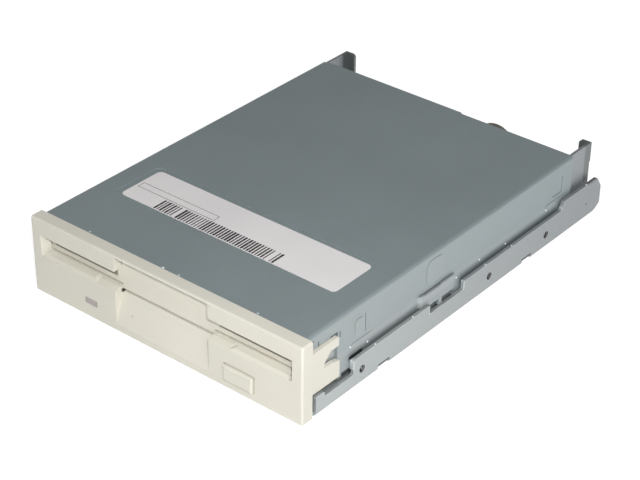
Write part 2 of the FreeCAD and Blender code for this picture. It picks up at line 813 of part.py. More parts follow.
def top_cover():
    """The zinc-coated cover: a top and two sides in one sheet, open at the front and the rear."""
    side = cover_outer
    inside = cover_inner - 1
    bottom = rail_low_height - cover_overlap
    path = [(side, bottom), (side, overall_height), (-side, overall_height), (-side, bottom)]
    cover = bent_sheet(path, cover_sheet, bezel_depth, cover_rear)
    step = box(2.0 - side, 7.0, cover_rear, cover_rear + 0.6, cover_underside, overall_height)
    tongue, clear = side_tongue()
    front = box(inside, side + 1, 0, arm_length + 0.1, 0, arm_top + 0.4)
    window = box(inside, side + 1, bezel_depth + 0.7, bezel_depth + 2.1, arm_top + 1.0, arm_top + 3.5)
    rear_tab = cover_rear - 5.6
    tab_bottom = rail_height + 5.8
    neck_top = rail_height + tongue_rise[1]
    slits = [
        box(inside, side + 1, 28.2, 28.2 + slit, tab_bottom - slit, overall_height - 4.2),
        box(inside, side + 1, rear_tab, rear_tab + slit, tab_bottom, overall_height - 4.4),
        box(inside, side + 1, rear_tab - 4.6, rear_tab + slit, tab_bottom - slit, tab_bottom),
        box(inside, side + 1, low_rail[0] - 1.8, low_rail[0] + 6.2, neck_top - slit, neck_top),
    ]
    # The sheet keeps its thickness where it is pressed: in at the label, out at the sides.
    pan = label_field(cover_underside - label_recess_drop, cover_underside, cover_sheet * 0.5)
    pads = [side_emboss(*field, side, 0.0) for field in side_fields()]
    dents = [side_emboss(*field, cover_inner, emboss_height * 0.5) for field in side_fields()]
    cover = cut(cover, [clear, mirrored(clear)])
    cover = fuse([cover, step, pan] + with_mirrored([tongue] + pads))
    top = label_field(overall_height - label_recess_drop, overall_height + 1, 0.0)
    return cut(cover, with_mirrored([front, window] + slits + dents) + [top])


# Bezel and its controls

def bezel_arm():
    """The right-hand arm that clips the bezel to the side of the drive, with a notched hook."""
    back = arm_length
    root = bezel_depth - 0.5
    rise = arm_top - arm_bottom
    notch = 9.9
    finger_bottom = arm_top - arm_finger
    points = [
        (root, arm_bottom), (back, arm_bottom), (back, arm_bottom + rise * 0.40),
        (back - 2.6, arm_bottom + rise * 0.45), (notch, arm_bottom + rise * 0.46),
        (notch, arm_bottom + rise * 0.58), (notch + 2.6, finger_bottom), (back - 0.4, finger_bottom),
        (back - 0.4, arm_top - 0.1), (root, arm_top),
    ]
    inner = guide_outer + arm_gap
    return plate_x(points, inner, inner + arm_sheet, [0, 0.3, 0.3, 0, 0, 0, 0, 0.3, 0.3, 0])


def bezel_block():
    """The bezel's outside with its rounded edges."""
    face = box(-rail_outer, rail_outer, 0, bezel_depth, 0, overall_height)
    long_edges = [e for e in face.Edges if abs(e.Vertexes[0].Y - e.Vertexes[1].Y) > 1]
    face = face.makeFillet(bezel_edge, long_edges)
    front_edges = [e for e in face.Edges if all(abs(v.Y) < 1e-6 for v in e.Vertexes)]
    return face.makeFillet(bezel_edge * 0.9, front_edges)


def bezel_front_cuts():
    """The finger recess, which slopes out to the face, and the flared mouth of the disk slot."""
    reach = recess_depth + flap_face_gap
    top = overall_height - recess_top_wall
    slope = (recess_floor_back - recess_floor_front) / recess_depth
    recess = plate_x(
        [(-1.0, recess_floor_front - slope), (reach, recess_floor_front + slope * reach), (reach, top),
         (-1.0, top)],
        -recess_half_width, recess_half_width,
    )
    ledge = rectangle(-1.0, reach, slot_lip - ledge_drop, slot_top)
    ledge = plate_x(ledge, -ledge_half_width, ledge_half_width)
    lead = lip_slope / recess_depth
    lead_in = plate_x(
        [(-1.0, lip_front - lead), (reach, lip_front + lead * reach), (reach, slot_top), (-1.0, slot_top)],
        -slot_half_width, slot_half_width,
    )
    flare = slot_flare * (1 + 1 / recess_depth)
    end = plate_z(
        [(slot_half_width - 0.5, reach), (slot_half_width, reach), (slot_half_width + flare, -1.0),
         (slot_half_width - 0.5, -1.0)],
        lip_front, slot_top,
    )
    return [recess, ledge, lead_in, end, mirrored(end)]


def bezel_door_pockets():
    """The pocket for the dust door behind the slot, with more room for its hinge and its spring."""
    front = recess_depth - flap_face_gap
    back = bezel_depth + 1.0
    half = slot_half_width + pocket_side_gap
    relief_front = door_pivot_depth - door_lobe_radius - 0.3
    relief_low = flap_pocket_top - 1
    relief_top = door_pivot_height + door_lobe_radius + 0.2
    lobe_room = door_lobe_width + pocket_side_gap + flap_side_gap + 0.4
    return [
        box(-half, half, front, back, slot_lip, flap_pocket_top),
        box(-recess_half_width, recess_half_width, front, back, recess_floor_back,
            overall_height - recess_top_wall),
        box(half - lobe_room, half, relief_front, back, relief_low, relief_top),
        box(-half, -half + lobe_room + door_spring_length + 0.2, relief_front, back, relief_low, relief_top),
    ]


def bezel_hollows():
    """The hollow back below the slot, which leaves a frame round the window and the button."""
    low = bezel_wall
    high = lip_front - bezel_wall
    back = bezel_depth + 1.0
    inner = recess_half_width + bezel_wall
    outer = rail_outer - bezel_wall
    button_frame = button_width / 2 + window_collar
    lamp_frame = lamp_width / 2 + window_collar
    spans = [
        (-outer, lamp_centre - lamp_frame), (lamp_centre + lamp_frame, -inner),
        (inner, button_centre - button_frame), (button_centre + button_frame, outer),
    ]
    return [box(x0, x1, bezel_wall, back, low, high) for x0, x1 in spans]


def front_bezel():
    """The moulded front: disk slot, finger recess, window, button hole, hollow back and two arms."""
    back = bezel_depth + 1.0
    lamp_half = lamp_width / 2 + lamp_gap
    button_half = button_width / 2 + button_gap
    windows = [
        box(lamp_centre - lamp_half, lamp_centre + lamp_half, -1, back, lamp_bottom - lamp_gap,
            lamp_bottom + lamp_height + lamp_gap),
        box(button_centre - button_half, button_centre + button_half, -1, back, button_bottom - button_gap,
            button_bottom + button_height + button_gap),
    ]
    face = cut(bezel_block(), bezel_front_cuts() + bezel_door_pockets() + windows)
    face = cut(face, bezel_hollows())
    lug_inner = slot_half_width + 2 * pocket_side_gap
    lug_outer = lug_inner + door_lug_width
    lug = box(lug_inner, lug_outer, bezel_depth - 0.5, bezel_depth + 2.1, door_pivot_height - door_lug_half,
              door_pivot_height + door_lug_half)
    bore = round_x(door_pin_radius + running_gap, lug_inner - 1, lug_outer + 1, door_pivot_depth,
                   door_pivot_height)
    whole = fuse([face] + with_mirrored([lug, bezel_arm()]))
    return cut(whole, [bore, mirrored(bore)])


def activity_lamp():
    """The lamp whose lens fills the window, with its flange and two leads to the motor board."""
    left = lamp_centre - lamp_width / 2
    right = lamp_centre + lamp_width / 2
    top = lamp_bottom + lamp_height
    lens = box(left, right, 0.05, lamp_length, lamp_bottom, top)
    flange = box(left - 0.5, right + 0.5, lamp_length - 2.0, lamp_length, lamp_bottom - 0.4, top + 0.4)
    pieces = [lens, flange]
    run_end = lamp_length + 3.6
    for side in (-1, 1):
        x0 = lamp_centre + side * lead_pitch / 2 - lead_size / 2
        x1 = x0 + lead_size
        pieces.append(box(x0, x1, lamp_length, run_end, board_top + 0.1, board_top + lead_size))
        pieces.append(box(x0, x1, run_end - lead_size, run_end, board_top, board_top + lead_size))
    return fuse(pieces)


def door_flap():
    """The dust door: a T-shaped plate that hangs from two pins and swings inwards."""
    front = recess_depth + flap_face_gap
    back = front + flap_thickness
    half = slot_half_width - flap_side_gap
    tab = recess_half_width - flap_side_gap
    wide = plate_x(
        [(front, flap_bottom + flap_chamfer), (front + flap_chamfer, flap_bottom), (back, flap_bottom),
         (back, flap_top), (front, flap_top)],
        -half, half,
    )
    centre = plate_x(
        [(front, flap_tab_bottom + flap_chamfer), (front + flap_chamfer, flap_tab_bottom),
         (back, flap_tab_bottom), (back, flap_centre_top), (front, flap_centre_top)],
        -tab, tab,
    )
    rib = box(6 - half, half - 6, back, back + 0.9, flap_top - 2.5, flap_top - 1.8)
    y = door_pivot_depth
    z = door_pivot_height
    lobe_inner = half - door_lobe_width
    lobe_points = [
        (back - 0.4, z - 3.3), (y + 0.8, z - 0.8), (y, z), (y - door_lobe_radius, z), (back - 0.5, flap_top),
    ]
    lobe = fuse([plate_x(lobe_points, lobe_inner, half), round_x(door_lobe_radius, lobe_inner, half, y, z)])
    pin_end = slot_half_width + 2 * pocket_side_gap + door_lug_width - 0.2
    pin = round_x(door_pin_radius, half, pin_end, y, z)
    stub = round_x(door_pin_radius, -lobe_inner, door_spring_length + 0.3 - lobe_inner, y, z)
    return fuse([wide, centre, rib, stub] + with_mirrored([lobe, pin]))


def door_spring():
    """The wound spring round the door's left stub, with one leg against the bezel."""
    y = door_pivot_depth
    z = door_pivot_height
    start = flap_side_gap + door_lobe_width + 0.1 - slot_half_width
    outer = round_x(door_spring_radius, start, start + door_spring_length - 0.2, y, z)
    inner = round_x(door_pin_radius + seat_gap, start - 1, start + door_spring_length + 1, y, z)
    leg = box(start, start + spring_wire, y, y + 3.2, z + 0.7, z + 0.7 + spring_wire)
    return cut(fuse([outer, leg]), [inner])


def eject_button():
    """The push button, slotted at the back for the slide plate's tongue."""
    left = button_centre - button_width / 2
    right = button_centre + button_width / 2
    body = box(left, right, -button_stand, button_length - button_stand, button_bottom,
               button_bottom + button_height)
    edges = [e for e in body.Edges if all(abs(v.Y + button_stand) < 1e-6 for v in e.Vertexes)]
    body = body.makeFillet(0.5, edges)
    half = slide_tongue_width / 2
    tongue = box(button_centre - half, button_centre + half, button_length - button_stand - tongue_hold,
                 button_length, slide_floor, slide_top)
    hollow = box(left + button_wall, right - button_wall, button_wall, button_length,
                 button_bottom + button_wall, slide_floor - 0.9)
    return cut(body, [tongue, hollow])


# Loading mechanism

def slide_wall():
    """The right-hand wall of the slide plate, with a sloped slot for each carrier pin."""
    front_rear = slide_front + slide_post_length
    rear_front = rear_pin_depth - slide_post_before_pin
    low_top = slide_floor + slide_low_wall
    points = [
        (slide_front, slide_floor), (slide_rear, slide_floor), (slide_rear, slide_wall_top),
        (rear_front, slide_wall_top), (rear_front, low_top), (front_rear, low_top),
        (front_rear, slide_wall_top), (slide_front, slide_wall_top),
    ]
    wall = plate_x(points, slide_inner, slide_outer, [0, 0, 1.5, 1.5, 1.0, 1.0, 1.5, 1.5])
    slots = []
    for y in carrier_pin_depths:
        start = (y, carrier_pin_height)
        end = (y + eject_travel, carrier_pin_height - loading_lift)
        slots.append(side_slot(start, end, carrier_pin_radius + slot_gap, slide_inner - 1, slide_outer + 1))
    return cut(wall, slots)


def latch_pin_at(degrees):
    """The latch pin's place when the lever has turned by an angle."""
    turn = math.radians(degrees)
    return (latch_pivot[0] + latch_arm * math.sin(turn), latch_pivot[1] - latch_arm * math.cos(turn))


def slide_plate():
    """The eject slide: two side strips with walls, a cross strip, the button's tongue and spring tabs."""
    low = slide_floor
    high = slide_top
    inner = slide_outer - slide_strip_width
    pin_rest = latch_pin_at(0)
    pin_out = latch_pin_at(latch_swing)
    pin_out = (pin_out[0], pin_out[1] + eject_travel)
    left_rear = pin_out[1] + latch_pin_radius + 1.3
    right_strip = box(inner, slide_outer, slide_front, slide_rear, low, high)
    left_strip = plate_z(
        [(-slide_outer, slide_front), (-inner, slide_front), (-inner, pin_rest[1] - 4.0),
         (-inner + 1.6, pin_rest[1] - 2.0), (-inner + 1.6, left_rear), (-slide_outer, left_rear)],
        low, high,
    )
    cross = box(-inner - 0.5, inner + 0.5, *slide_cross, low, high)
    tongue_half = slide_tongue_width / 2
    tongue = box(button_centre - tongue_half, button_centre + tongue_half,
                 button_length - button_stand - tongue_hold, slide_cross[0] + 1, low, high)
    tab_half = spring_radius + 0.3
    tab = fuse([
        box(spring_side - tab_half, inner + 1, spring_tab_depth, spring_tab_depth + 3, low, high),
        box(spring_side - tab_half, spring_side + tab_half, spring_tab_depth, spring_tab_depth + slide_sheet,
            low, spring_height + 2.2),
    ])
    eye = round_y(0.5, spring_tab_depth - 1, spring_tab_depth + 2, spring_side, spring_height)
    plate = fuse([right_strip, left_strip, cross, tongue] + with_mirrored([tab, slide_wall()]))
    latch_slot = flat_slot(pin_rest, pin_out, latch_pin_radius + slot_gap, low - 1, high + 1)
    window = rectangle(-12.0, 12.0, slide_cross[0] + 1.8, slide_cross[1] - 1.8)
    window = plate_z(window, low - 1, high + 1, 1.0)
    return cut(plate, [latch_slot, window, eye, mirrored(eye)])


def eject_springs():
    """The two springs that pull the slide forward, each hooked between its post and the slide's tab."""
    start = spring_post_depth + 1.8
    end = spring_tab_depth - 0.9
    hook_side = spring_side + 1.2
    coil = round_y(spring_radius, start, end, spring_side, spring_height)
    bore = round_y(spring_radius - spring_wire, start - 1, end + 1, spring_side, spring_height)
    hooks = [
        round_y(0.3, spring_post_depth + spring_post_radius + 0.1, start + 0.3, hook_side, spring_height),
        round_y(0.3, end - 0.3, spring_tab_depth - 0.1, hook_side, spring_height),
    ]
    return with_mirrored([fuse([coil.cut(bore)] + hooks)])


def spring_posts():
    """The fixed posts for the front hooks of the eject springs."""
    post = round_z(spring_post_radius, deck_top, spring_height + 2.0, spring_side, spring_post_depth)
    foot = round_z(spring_radius, deck_top, deck_top + 1.0, spring_side, spring_post_depth)
    return with_mirrored([fuse([post, foot])])


def disk_carrier():
    """The disk carrier: a folded tray with a roof, two sides, lips under the disk and four pins."""
    side = carrier_outer
    lip = side - carrier_lip
    path = [
        (lip, lip_bottom), (side, lip_bottom), (side, carrier_top),
        (-side, carrier_top), (-side, lip_bottom), (-lip, lip_bottom),
    ]
    tray = bent_sheet(path, carrier_sheet, carrier_front, carrier_rear)
    pins = [round_x(carrier_pin_radius, side - 0.2, guide_outer - 0.2, y, carrier_pin_height)
            for y in carrier_pin_depths]
    roof = (carrier_roof - 1, carrier_top + 1)
    light = plate_z(rectangle(16.0, 34.0, spindle_depth - 27.0, spindle_depth - 7.0), *roof, 3.0)
    tools = [
        box(-head_window, head_window, spindle_depth + head_window_gap, carrier_rear + 1, *roof),
        light, mirrored(light),
        round_z(hub_hole_radius, *roof, 0, spindle_depth),
        shutter_slot(),
        round_z(shutter_post_radius + 0.2, *roof, *shutter_pivot),
    ]
    return cut(fuse([tray] + with_mirrored(pins)), tools)


def shutter_point(degrees, radius):
    """A point on the shutter lever's circle."""
    turn = math.radians(degrees)
    return (shutter_pivot[0] - radius * math.cos(turn), shutter_pivot[1] - radius * math.sin(turn))


def shutter_slot():
    """The curved slot in the carrier's roof along which the shutter lever's pin swings."""
    reach = shutter_pin_radius + 0.4
    ring = round_z(shutter_arm + reach, carrier_roof - 1, carrier_top + 1, *shutter_pivot)
    ring = ring.cut(round_z(shutter_arm - reach, carrier_roof - 2, carrier_top + 2, *shutter_pivot))
    far = shutter_arm + reach + 5
    first = shutter_point(shutter_start, far)
    last = shutter_point(shutter_start - shutter_swing, far)
    swept = [shutter_pivot, first, (first[0] - far / 2, last[1]), last]
    sector = plate_z(swept, carrier_roof - 1, carrier_top + 1)
    ends = []
    for degrees in (shutter_start, shutter_start - shutter_swing):
        x, y = shutter_point(degrees, shutter_arm)
        ends.append(round_z(reach, carrier_roof - 1, carrier_top + 1, x, y))
    return ring.common(sector).multiFuse(ends)


def shutter_lever():
    """The lever on the carrier's roof whose pin pushes the disk's shutter open."""
    base = carrier_top + lever_gap
    top = base + shutter_sheet
    tip = shutter_point(shutter_start, shutter_arm)
    along = Vector(tip[0] - shutter_pivot[0], tip[1] - shutter_pivot[1], 0)
    along.normalize()
    side = Vector(-along.y, along.x, 0)
    wide = side * 3.2
    narrow = side * 1.7
    start = Vector(shutter_pivot[0], shutter_pivot[1], 0)
    end = Vector(tip[0], tip[1], 0)
    corners = [start + wide, start - wide, end - narrow, end + narrow]
    blade = plate_z([(c.x, c.y) for c in corners], base, top)
    hub = round_z(3.2, base, top, *shutter_pivot)
    nose = round_z(1.7, base, top, *tip)
    pin = round_z(shutter_pin_radius, carrier_roof - 2.7, base, *tip)
    bore = round_z(shutter_post_radius + running_gap, base - 1, top + 1, *shutter_pivot)
    return cut(fuse([blade, hub, nose, pin]), [bore])


def shutter_post():
    """The headed post that the shutter lever turns on, riveted into the carrier's roof."""
    seat = carrier_top + shutter_sheet + 2 * lever_gap
    shank = round_z(shutter_post_radius, carrier_roof, seat, *shutter_pivot)
    collar = round_z(shutter_post_radius + 0.2, carrier_roof, carrier_top, *shutter_pivot)
    head = round_z(shutter_post_radius + 0.9, seat, seat + 0.5, *shutter_pivot)
    return fuse([shank, collar, head])


def shutter_spring():
    """The spring that returns the shutter lever, between the lever's blade and the carrier's roof."""
    tip = shutter_point(shutter_start, shutter_arm * 0.5)
    base = carrier_top + lever_gap + shutter_sheet
    coil = round_z(1.6, base, base + 1.2, *tip)
    bore = round_z(1.1, base - 1, base + 2, *tip)
    return coil.cut(bore)


def latch_post():
    """The headed post that the latch lever turns on."""
    seat = latch_base + latch_sheet + lever_gap
    shoulder = round_z(2.6, foot_top, latch_base - lever_gap, *latch_pivot)
    shank = round_z(latch_post_radius, deck_top, seat, *latch_pivot)
    head = round_z(2.3, seat, seat + 0.6, *latch_pivot)
    return fuse([shoulder, shank, head])


def latch_lever():
    """The latch lever: one arm holds the slide by its pin, the other stands in the disk's way."""
    base = latch_base
    top = base + latch_sheet
    pin = latch_pin_at(0)
    finger = (latch_finger_side, disk_edge + latch_finger_gap)
    hub = round_z(latch_hub_radius, base, top, *latch_pivot)
    arm = flat_slot(latch_pivot, pin, latch_arm_half, base, top)
    trigger = flat_slot(latch_pivot, finger, latch_arm_half, base, top)
    upright = box(finger[0] - 1.5, finger[0] + 1.5, finger[1] - 0.4, finger[1] + 0.4, base,
                  carrier_roof - 2.6)
    peg = round_z(latch_pin_radius, slide_floor - lever_gap, base, *pin)
    bore = round_z(latch_post_radius + running_gap, base - 1, top + 1, *latch_pivot)
    return cut(fuse([hub, arm, trigger, upright, peg]), [bore])


def latch_spring():
    """The wound spring on the latch post, above the lever's head."""
    x, y = latch_pivot
    base = latch_base + latch_sheet + lever_gap + 0.6
    coil = round_z(2.2, base, base + 2.4, x, y)
    core = round_z(latch_post_radius + seat_gap, base - 1, base + 4, x, y)
    leg = box(x - spring_wire / 2, x + spring_wire / 2, y + 1.8, y + 6.0, base, base + spring_wire)
    return cut(fuse([coil, leg]), [core])


# Spindle motor

def motor_board():
    """The steel-cored board under the spindle motor, with the front switches on it."""
    front = 10.0
    side = guide_inner - 7.4
    lamp_half = lamp_width / 2 + 1.6
    button_half = button_width / 2 + 0.8
    notch = button_length + 1.0
    points = [
        (-side, front), (lamp_centre - lamp_half, front), (lamp_centre - lamp_half, front + 0.6),
        (lamp_centre + lamp_half, front + 0.6), (lamp_centre + lamp_half, front),
        (button_centre - button_half, front), (button_centre - button_half, notch),
        (button_centre + button_half, notch), (button_centre + button_half, front), (side, front),
        (side, spindle_depth - 7.0), (26.0, spindle_depth + 15.0), (-26.0, spindle_depth + 15.0),
        (-side, spindle_depth - 7.0),
    ]
    board = plate_z(points, deck_top, board_top)
    holes = [screw_hole(x, y, 0, board_top + 1) for x, y in motor_screw_spots]
    holes.append(round_z(bearing_radius + seat_gap, 0, board_top + 1, 0, spindle_depth))
    return cut(board, holes)


def spindle_bearing():
    """The flanged bearing that carries the spindle."""
    top = rotor_top - 1.4
    body = round_z(bearing_radius, deck_height - 0.8, top, 0, spindle_depth)
    flange = round_z(bearing_flange_radius, board_top, board_top + 0.6, 0, spindle_depth)
    bore = round_z(shaft_radius + running_gap, 0, top + 1, 0, spindle_depth)
    return cut(fuse([body, flange]), [bore])


def pole_angles():
    """The directions of the stator's poles."""
    count = round(stator_poles)
    return [360.0 / count * i for i in range(count)]


def stator_core():
    """The laminated stator: a ring with poles that widen at the magnet."""
    low = stator_bottom
    high = stator_top
    pieces = [round_z(stator_ring_radius, low, high, 0, 0)]
    for degrees in pole_angles():
        stem = box(stator_ring_radius - 1.5, stator_radius - 0.6, -pole_half, pole_half, low, high)
        shoe = box(stator_radius - 1.8, stator_radius + 2, -pole_shoe_half, pole_shoe_half, low, high)
        shoe = shoe.common(round_z(stator_radius, low, high, 0, 0))
        pole = stem.multiFuse([shoe])
        pole.rotate(Vector(0, 0, 0), Vector(0, 0, 1), degrees)
        pieces.append(pole)
    pieces.append(round_z(bearing_radius + 1.6, board_top + 0.6, low, 0, 0))
    core = cut(fuse(pieces), [round_z(bearing_radius, low - 2, high + 1, 0, 0)])
    core.translate(Vector(0, spindle_depth, 0))
    return core


def stator_coils():
    """One coil round each pole."""
    low = stator_bottom
    high = stator_top
    coils = []
    for degrees in pole_angles():
        outer = box(stator_ring_radius + 0.6, stator_radius - 2.2, -coil_half, coil_half, low - coil_overhang,
                    high + coil_overhang)
        outer = outer.makeFillet(0.5, [e for e in outer.Edges if abs(e.Vertexes[0].X - e.Vertexes[1].X) > 1])
        coil = outer.cut(box(stator_ring_radius, stator_radius, -pole_half, pole_half, low, high))
        coil.rotate(Vector(0, 0, 0), Vector(0, 0, 1), degrees)
        coil.translate(Vector(0, spindle_depth, 0))
        coils.append(coil)
    return coils


def rotor_yoke():
    """The rotor's steel cup, turned in one piece with its hub."""
    low = board_top + rotor_foot_gap
    inner = rotor_radius - rotor_wall
    hub = bearing_radius + 0.5
    profile = [
        (shaft_radius, rotor_top - 1.1), (hub, rotor_top - 1.1), (hub + 0.8, rotor_inner_top),
        (inner, rotor_inner_top), (inner, low), (rotor_radius, low), (rotor_radius, rotor_top),
        (shaft_radius, rotor_top),
    ]
    radii = [0, 0, 0, 0, 0, 0, 0.7, 0]
    wire = outline(profile, radii, lambda p: Vector(p.x, 0, p.y))
    cup = Part.Face(wire).revolve(Vector(0, 0, 0), Vector(0, 0, 1), 360)
    holes = []
    reach = stator_radius - 0.9
    for degrees in (30.0, 150.0, 270.0):
        turn = math.radians(degrees)
        holes.append(round_z(1.6, low, rotor_top + 1, reach * math.cos(turn), reach * math.sin(turn)))
    cup = cut(cup, holes)
    cup.translate(Vector(0, spindle_depth, 0))
    return cup


def rotor_magnet():
    """The ring magnet inside the rotor's cup."""
    outer = rotor_radius - rotor_wall
    low = board_top + rotor_foot_gap + 0.1
    ring = round_z(outer, low, rotor_inner_top, 0, spindle_depth)
    return ring.cut(round_z(outer - magnet_wall, low - 1, rotor_top, 0, spindle_depth))


def spindle_shaft():
    """The spindle, from under the bearing up to the tip that centres the disk."""
    tip = disk_level + 1.7
    shaft = round_z(shaft_radius, deck_height - 0.6, tip, 0, spindle_depth)
    rim = [e for e in shaft.Edges if len(e.Vertexes) == 1 and abs(e.Vertexes[0].Z - tip) < 1e-6]
    return shaft.makeFillet(0.6, rim)


def disk_chuck():
    """The magnetic chuck that the disk's hub sits on, with a hole for the drive pin."""
    profile = [
        (shaft_radius, rotor_top), (chuck_radius - 1.2, rotor_top), (chuck_radius, rotor_top + 0.7),
        (chuck_radius, chuck_top), (4.2, chuck_top), (3.4, chuck_top - 0.5), (shaft_radius, chuck_top - 0.5),
    ]
    wire = outline(profile, 0, lambda p: Vector(p.x, 0, p.y))
    chuck = Part.Face(wire).revolve(Vector(0, 0, 0), Vector(0, 0, 1), 360)
    chuck = cut(chuck, [round_z(drive_pin_radius, rotor_top - 1, chuck_top + 1, drive_pin_offset, 0)])
    chuck.translate(Vector(0, spindle_depth, 0))
    return chuck


def drive_pin():
    """The roller that catches the slot in the disk's hub."""
    tip = disk_level + 1.5
    pin = round_z(drive_pin_radius, rotor_top, tip, drive_pin_offset, spindle_depth)
    rim = [e for e in pin.Edges if len(e.Vertexes) == 1 and abs(e.Vertexes[0].Z - tip) < 1e-6]
    return pin.makeFillet(0.4, rim)


def index_sensor():
    """The sensor beside the rotor that senses each turn."""
    x = -rotor_radius - 2.6
    body = box(x - 1.8, x + 1.8, spindle_depth - 2.5, spindle_depth + 2.5, board_top, board_top + 3.2)
    return body.makeFillet(0.4, [e for e in body.Edges if e.Vertexes[0].Z != e.Vertexes[1].Z])


# Sensing switches and height posts

def front_switches():
    """The push switches on the motor board, each with a well for its plunger."""
    bodies = []
    y = switch_depth
    reach = plunger_half + plunger_gap
    for x in switch_spots.values():
        body = box(x - switch_half, x + switch_half, y - switch_half_length, y + switch_half_length,
                   board_top, switch_top)
        body = body.makeFillet(0.4, [e for e in body.Edges if abs(e.Vertexes[0].Z - e.Vertexes[1].Z) > 1])
        well = box(x - reach, x + reach, y - reach, y + reach, board_top + 1.0, switch_top + 1)
        bodies.append(body.cut(well))
    return bodies


def switch_plunger(name):
    """The plunger that a disk's corner presses down."""
    x = switch_spots[name]
    y = switch_depth
    bottom = switch_top - (switch_top - board_top) * plunger_hold
    body = box(x - plunger_half, x + plunger_half, y - plunger_half, y + plunger_half, bottom, plunger_top)
    top = [e for e in body.Edges if all(abs(v.Z - plunger_top) < 1e-6 for v in e.Vertexes)]
    return body.makeFillet(0.4, top)


def height_posts():
    """The four posts that set the height of a loaded disk."""
    posts = []
    for x, y in post_spots:
        base = board_top if y < spindle_depth else deck_top
        stem = round_z(post_radius, base, disk_level, x, y)
        foot = round_z(post_foot_radius, base, base + 1.0, x, y)
        posts.append(fuse([stem, foot]))
    return posts


# Head positioner

def guide_rod():
    """The ground rod that the head carriage runs on."""
    return round_y(rod_radius, rod_front, rod_rear, rod_side, rod_height)


def rod_clamps():
    """The blocks that hold the ends of the guide rod, each with an ear for its screw."""
    clamps = []
    x = rod_side
    half = clamp_length / 2
    shoulder = rod_height + 1.2
    top = rod_height + 3.0
    for y in clamp_depths:
        points = [
            (x - 8.0, deck_top), (x + clamp_half, deck_top), (x + clamp_half, shoulder),
            (x + clamp_half / 2, top), (x - clamp_half / 2, top), (x - clamp_half, shoulder),
            (x - clamp_half, board_top), (x - 8.0, board_top),
        ]
        block = plate_y(points, y - half, y + half)
        tools = [
            round_y(rod_radius, y - half - 1, y + half + 1, x, rod_height),
            screw_hole(clamp_screw_side, y, 0, rod_height),
        ]
        clamps.append(cut(block, tools))
    return clamps


def deck_screws():
    """The like screws that hold the motor board, the rod clamps and the stepper's bracket to the deck."""
    spots = motor_screw_spots + [(clamp_screw_side, y) for y in clamp_depths]
    spots += [(bracket_screw_side, y) for y in bracket_screw_depths]
    return [screw(x, y, board_top, motor_board_sheet + frame_sheet) for x, y in spots]


def head_carriage():
    """The moulded carriage: a base, a bushing on the rod, the head platform, a post and a follower arm."""
    half = carriage_half_width
    low = carriage_bottom
    front = head_depth - carriage_past_track
    base_top = disk_level - carriage_below_disk
    base = plate_z(
        [(-half, front + 3.0), (-half + 4.0, front), (half - 4.0, front), (half, front + 3.0),
         (half, post_front - 3.0), (post_half_width, post_front), (post_half_width, post_rear),
         (-post_half_width, post_rear), (-post_half_width, post_front), (-half, post_front - 3.0)],
        low, base_top,
    )
    seat_half = head_half + 1.0
    platform = box(-seat_half, seat_half, head_depth - seat_half, head_depth + seat_half, base_top,
                   disk_level + head_mount)
    pocket = plate_z(rectangle(-5.5, 5.5, head_depth + 6.0, post_front - 3.0), low + 1.2, base_top + 1, 1.0)
    bush_front = head_depth - 0.5
    bush_rear = bush_front + bushing_length
    bushing = round_y(3.2, bush_front, bush_rear, rod_side, rod_height)
    web = box(rod_side + 1.0, 1.0 - half, bush_front, bush_rear, rod_height - 1.4, rod_height + 1.6)
    bore = round_y(rod_radius + running_gap, 0, overall_depth, rod_side, rod_height)
    flag = box(rod_side - 8.5, rod_side - 2.0, bush_rear - 1.5, bush_rear + 1.0, rod_height - 1.1,
               rod_height - 0.3)
    # Two ears at the top of the post carry the upper arm's pin.
    pivot = arm_pivot_height
    ear_inner = post_half_width - post_ear
    post = box(-post_half_width, post_half_width, post_front, post_rear, low, pivot - 2.2)
    ear = fuse([
        box(ear_inner, post_half_width, post_front, post_rear, pivot - 2.5, pivot),
        round_x(1.5, ear_inner, post_half_width, post_front + 1.5, pivot),
        box(ear_inner, post_half_width, post_front, post_front + 3.0, pivot - 0.5, pivot),
    ])
    pin_hole = round_x(arm_pin_radius, -half, half, arm_pivot_depth, pivot)
    follower = plate_z(
        [(post_half_width - 1, follower_depth - 1.4), (screw_side + 2.0, follower_depth - 1.1),
         (screw_side + 2.0, follower_depth + 1.1), (post_half_width - 1, follower_depth + 1.4)],
        low + 1.4, screw_axis_height - screw_radius - 1.6,
    )
    peg_hole = round_z(follower_radius, low, screw_axis_height, screw_side, follower_depth)
    whole = fuse([base, platform, bushing, web, flag, post, ear, mirrored(ear), follower])
    return cut(whole, [pocket, bore, pin_hole, peg_hole])


def follower_pin():
    """The pin that follows the lead screw's groove."""
    tip = screw_axis_height - screw_radius - 0.1
    return round_z(follower_radius, carriage_bottom + 1.4, tip, screw_side, follower_depth)


def head_slider(low, high, rail_low, rail_high):
    """A head's ceramic slider: two rails with a groove between them."""
    half = head_half
    slider = box(-half, half, head_depth - half, head_depth + half, low, high)
    return slider.cut(box(-0.9, 0.9, head_depth - half - 1, head_depth + half + 1, rail_low, rail_high))


def lower_head():
    """The lower head's slider on the carriage's platform."""
    top = disk_level + 1.6
    return head_slider(disk_level + head_mount, top, top - head_rail, top + 1)


def upper_head():
    """The upper head's slider, lifted with its arm."""
    bottom = disk_level + 1.75
    return raised(head_slider(bottom, arm_level - 0.9, bottom - 1, bottom + head_rail))


def raised(shape):
    """The upper arm's pieces are drawn closed on the disk and then lifted about the arm's pin."""
    lifted = shape.copy()
    lifted.rotate(Vector(0, arm_pivot_depth, arm_pivot_height), Vector(1, 0, 0), -arm_swing)
    return lifted


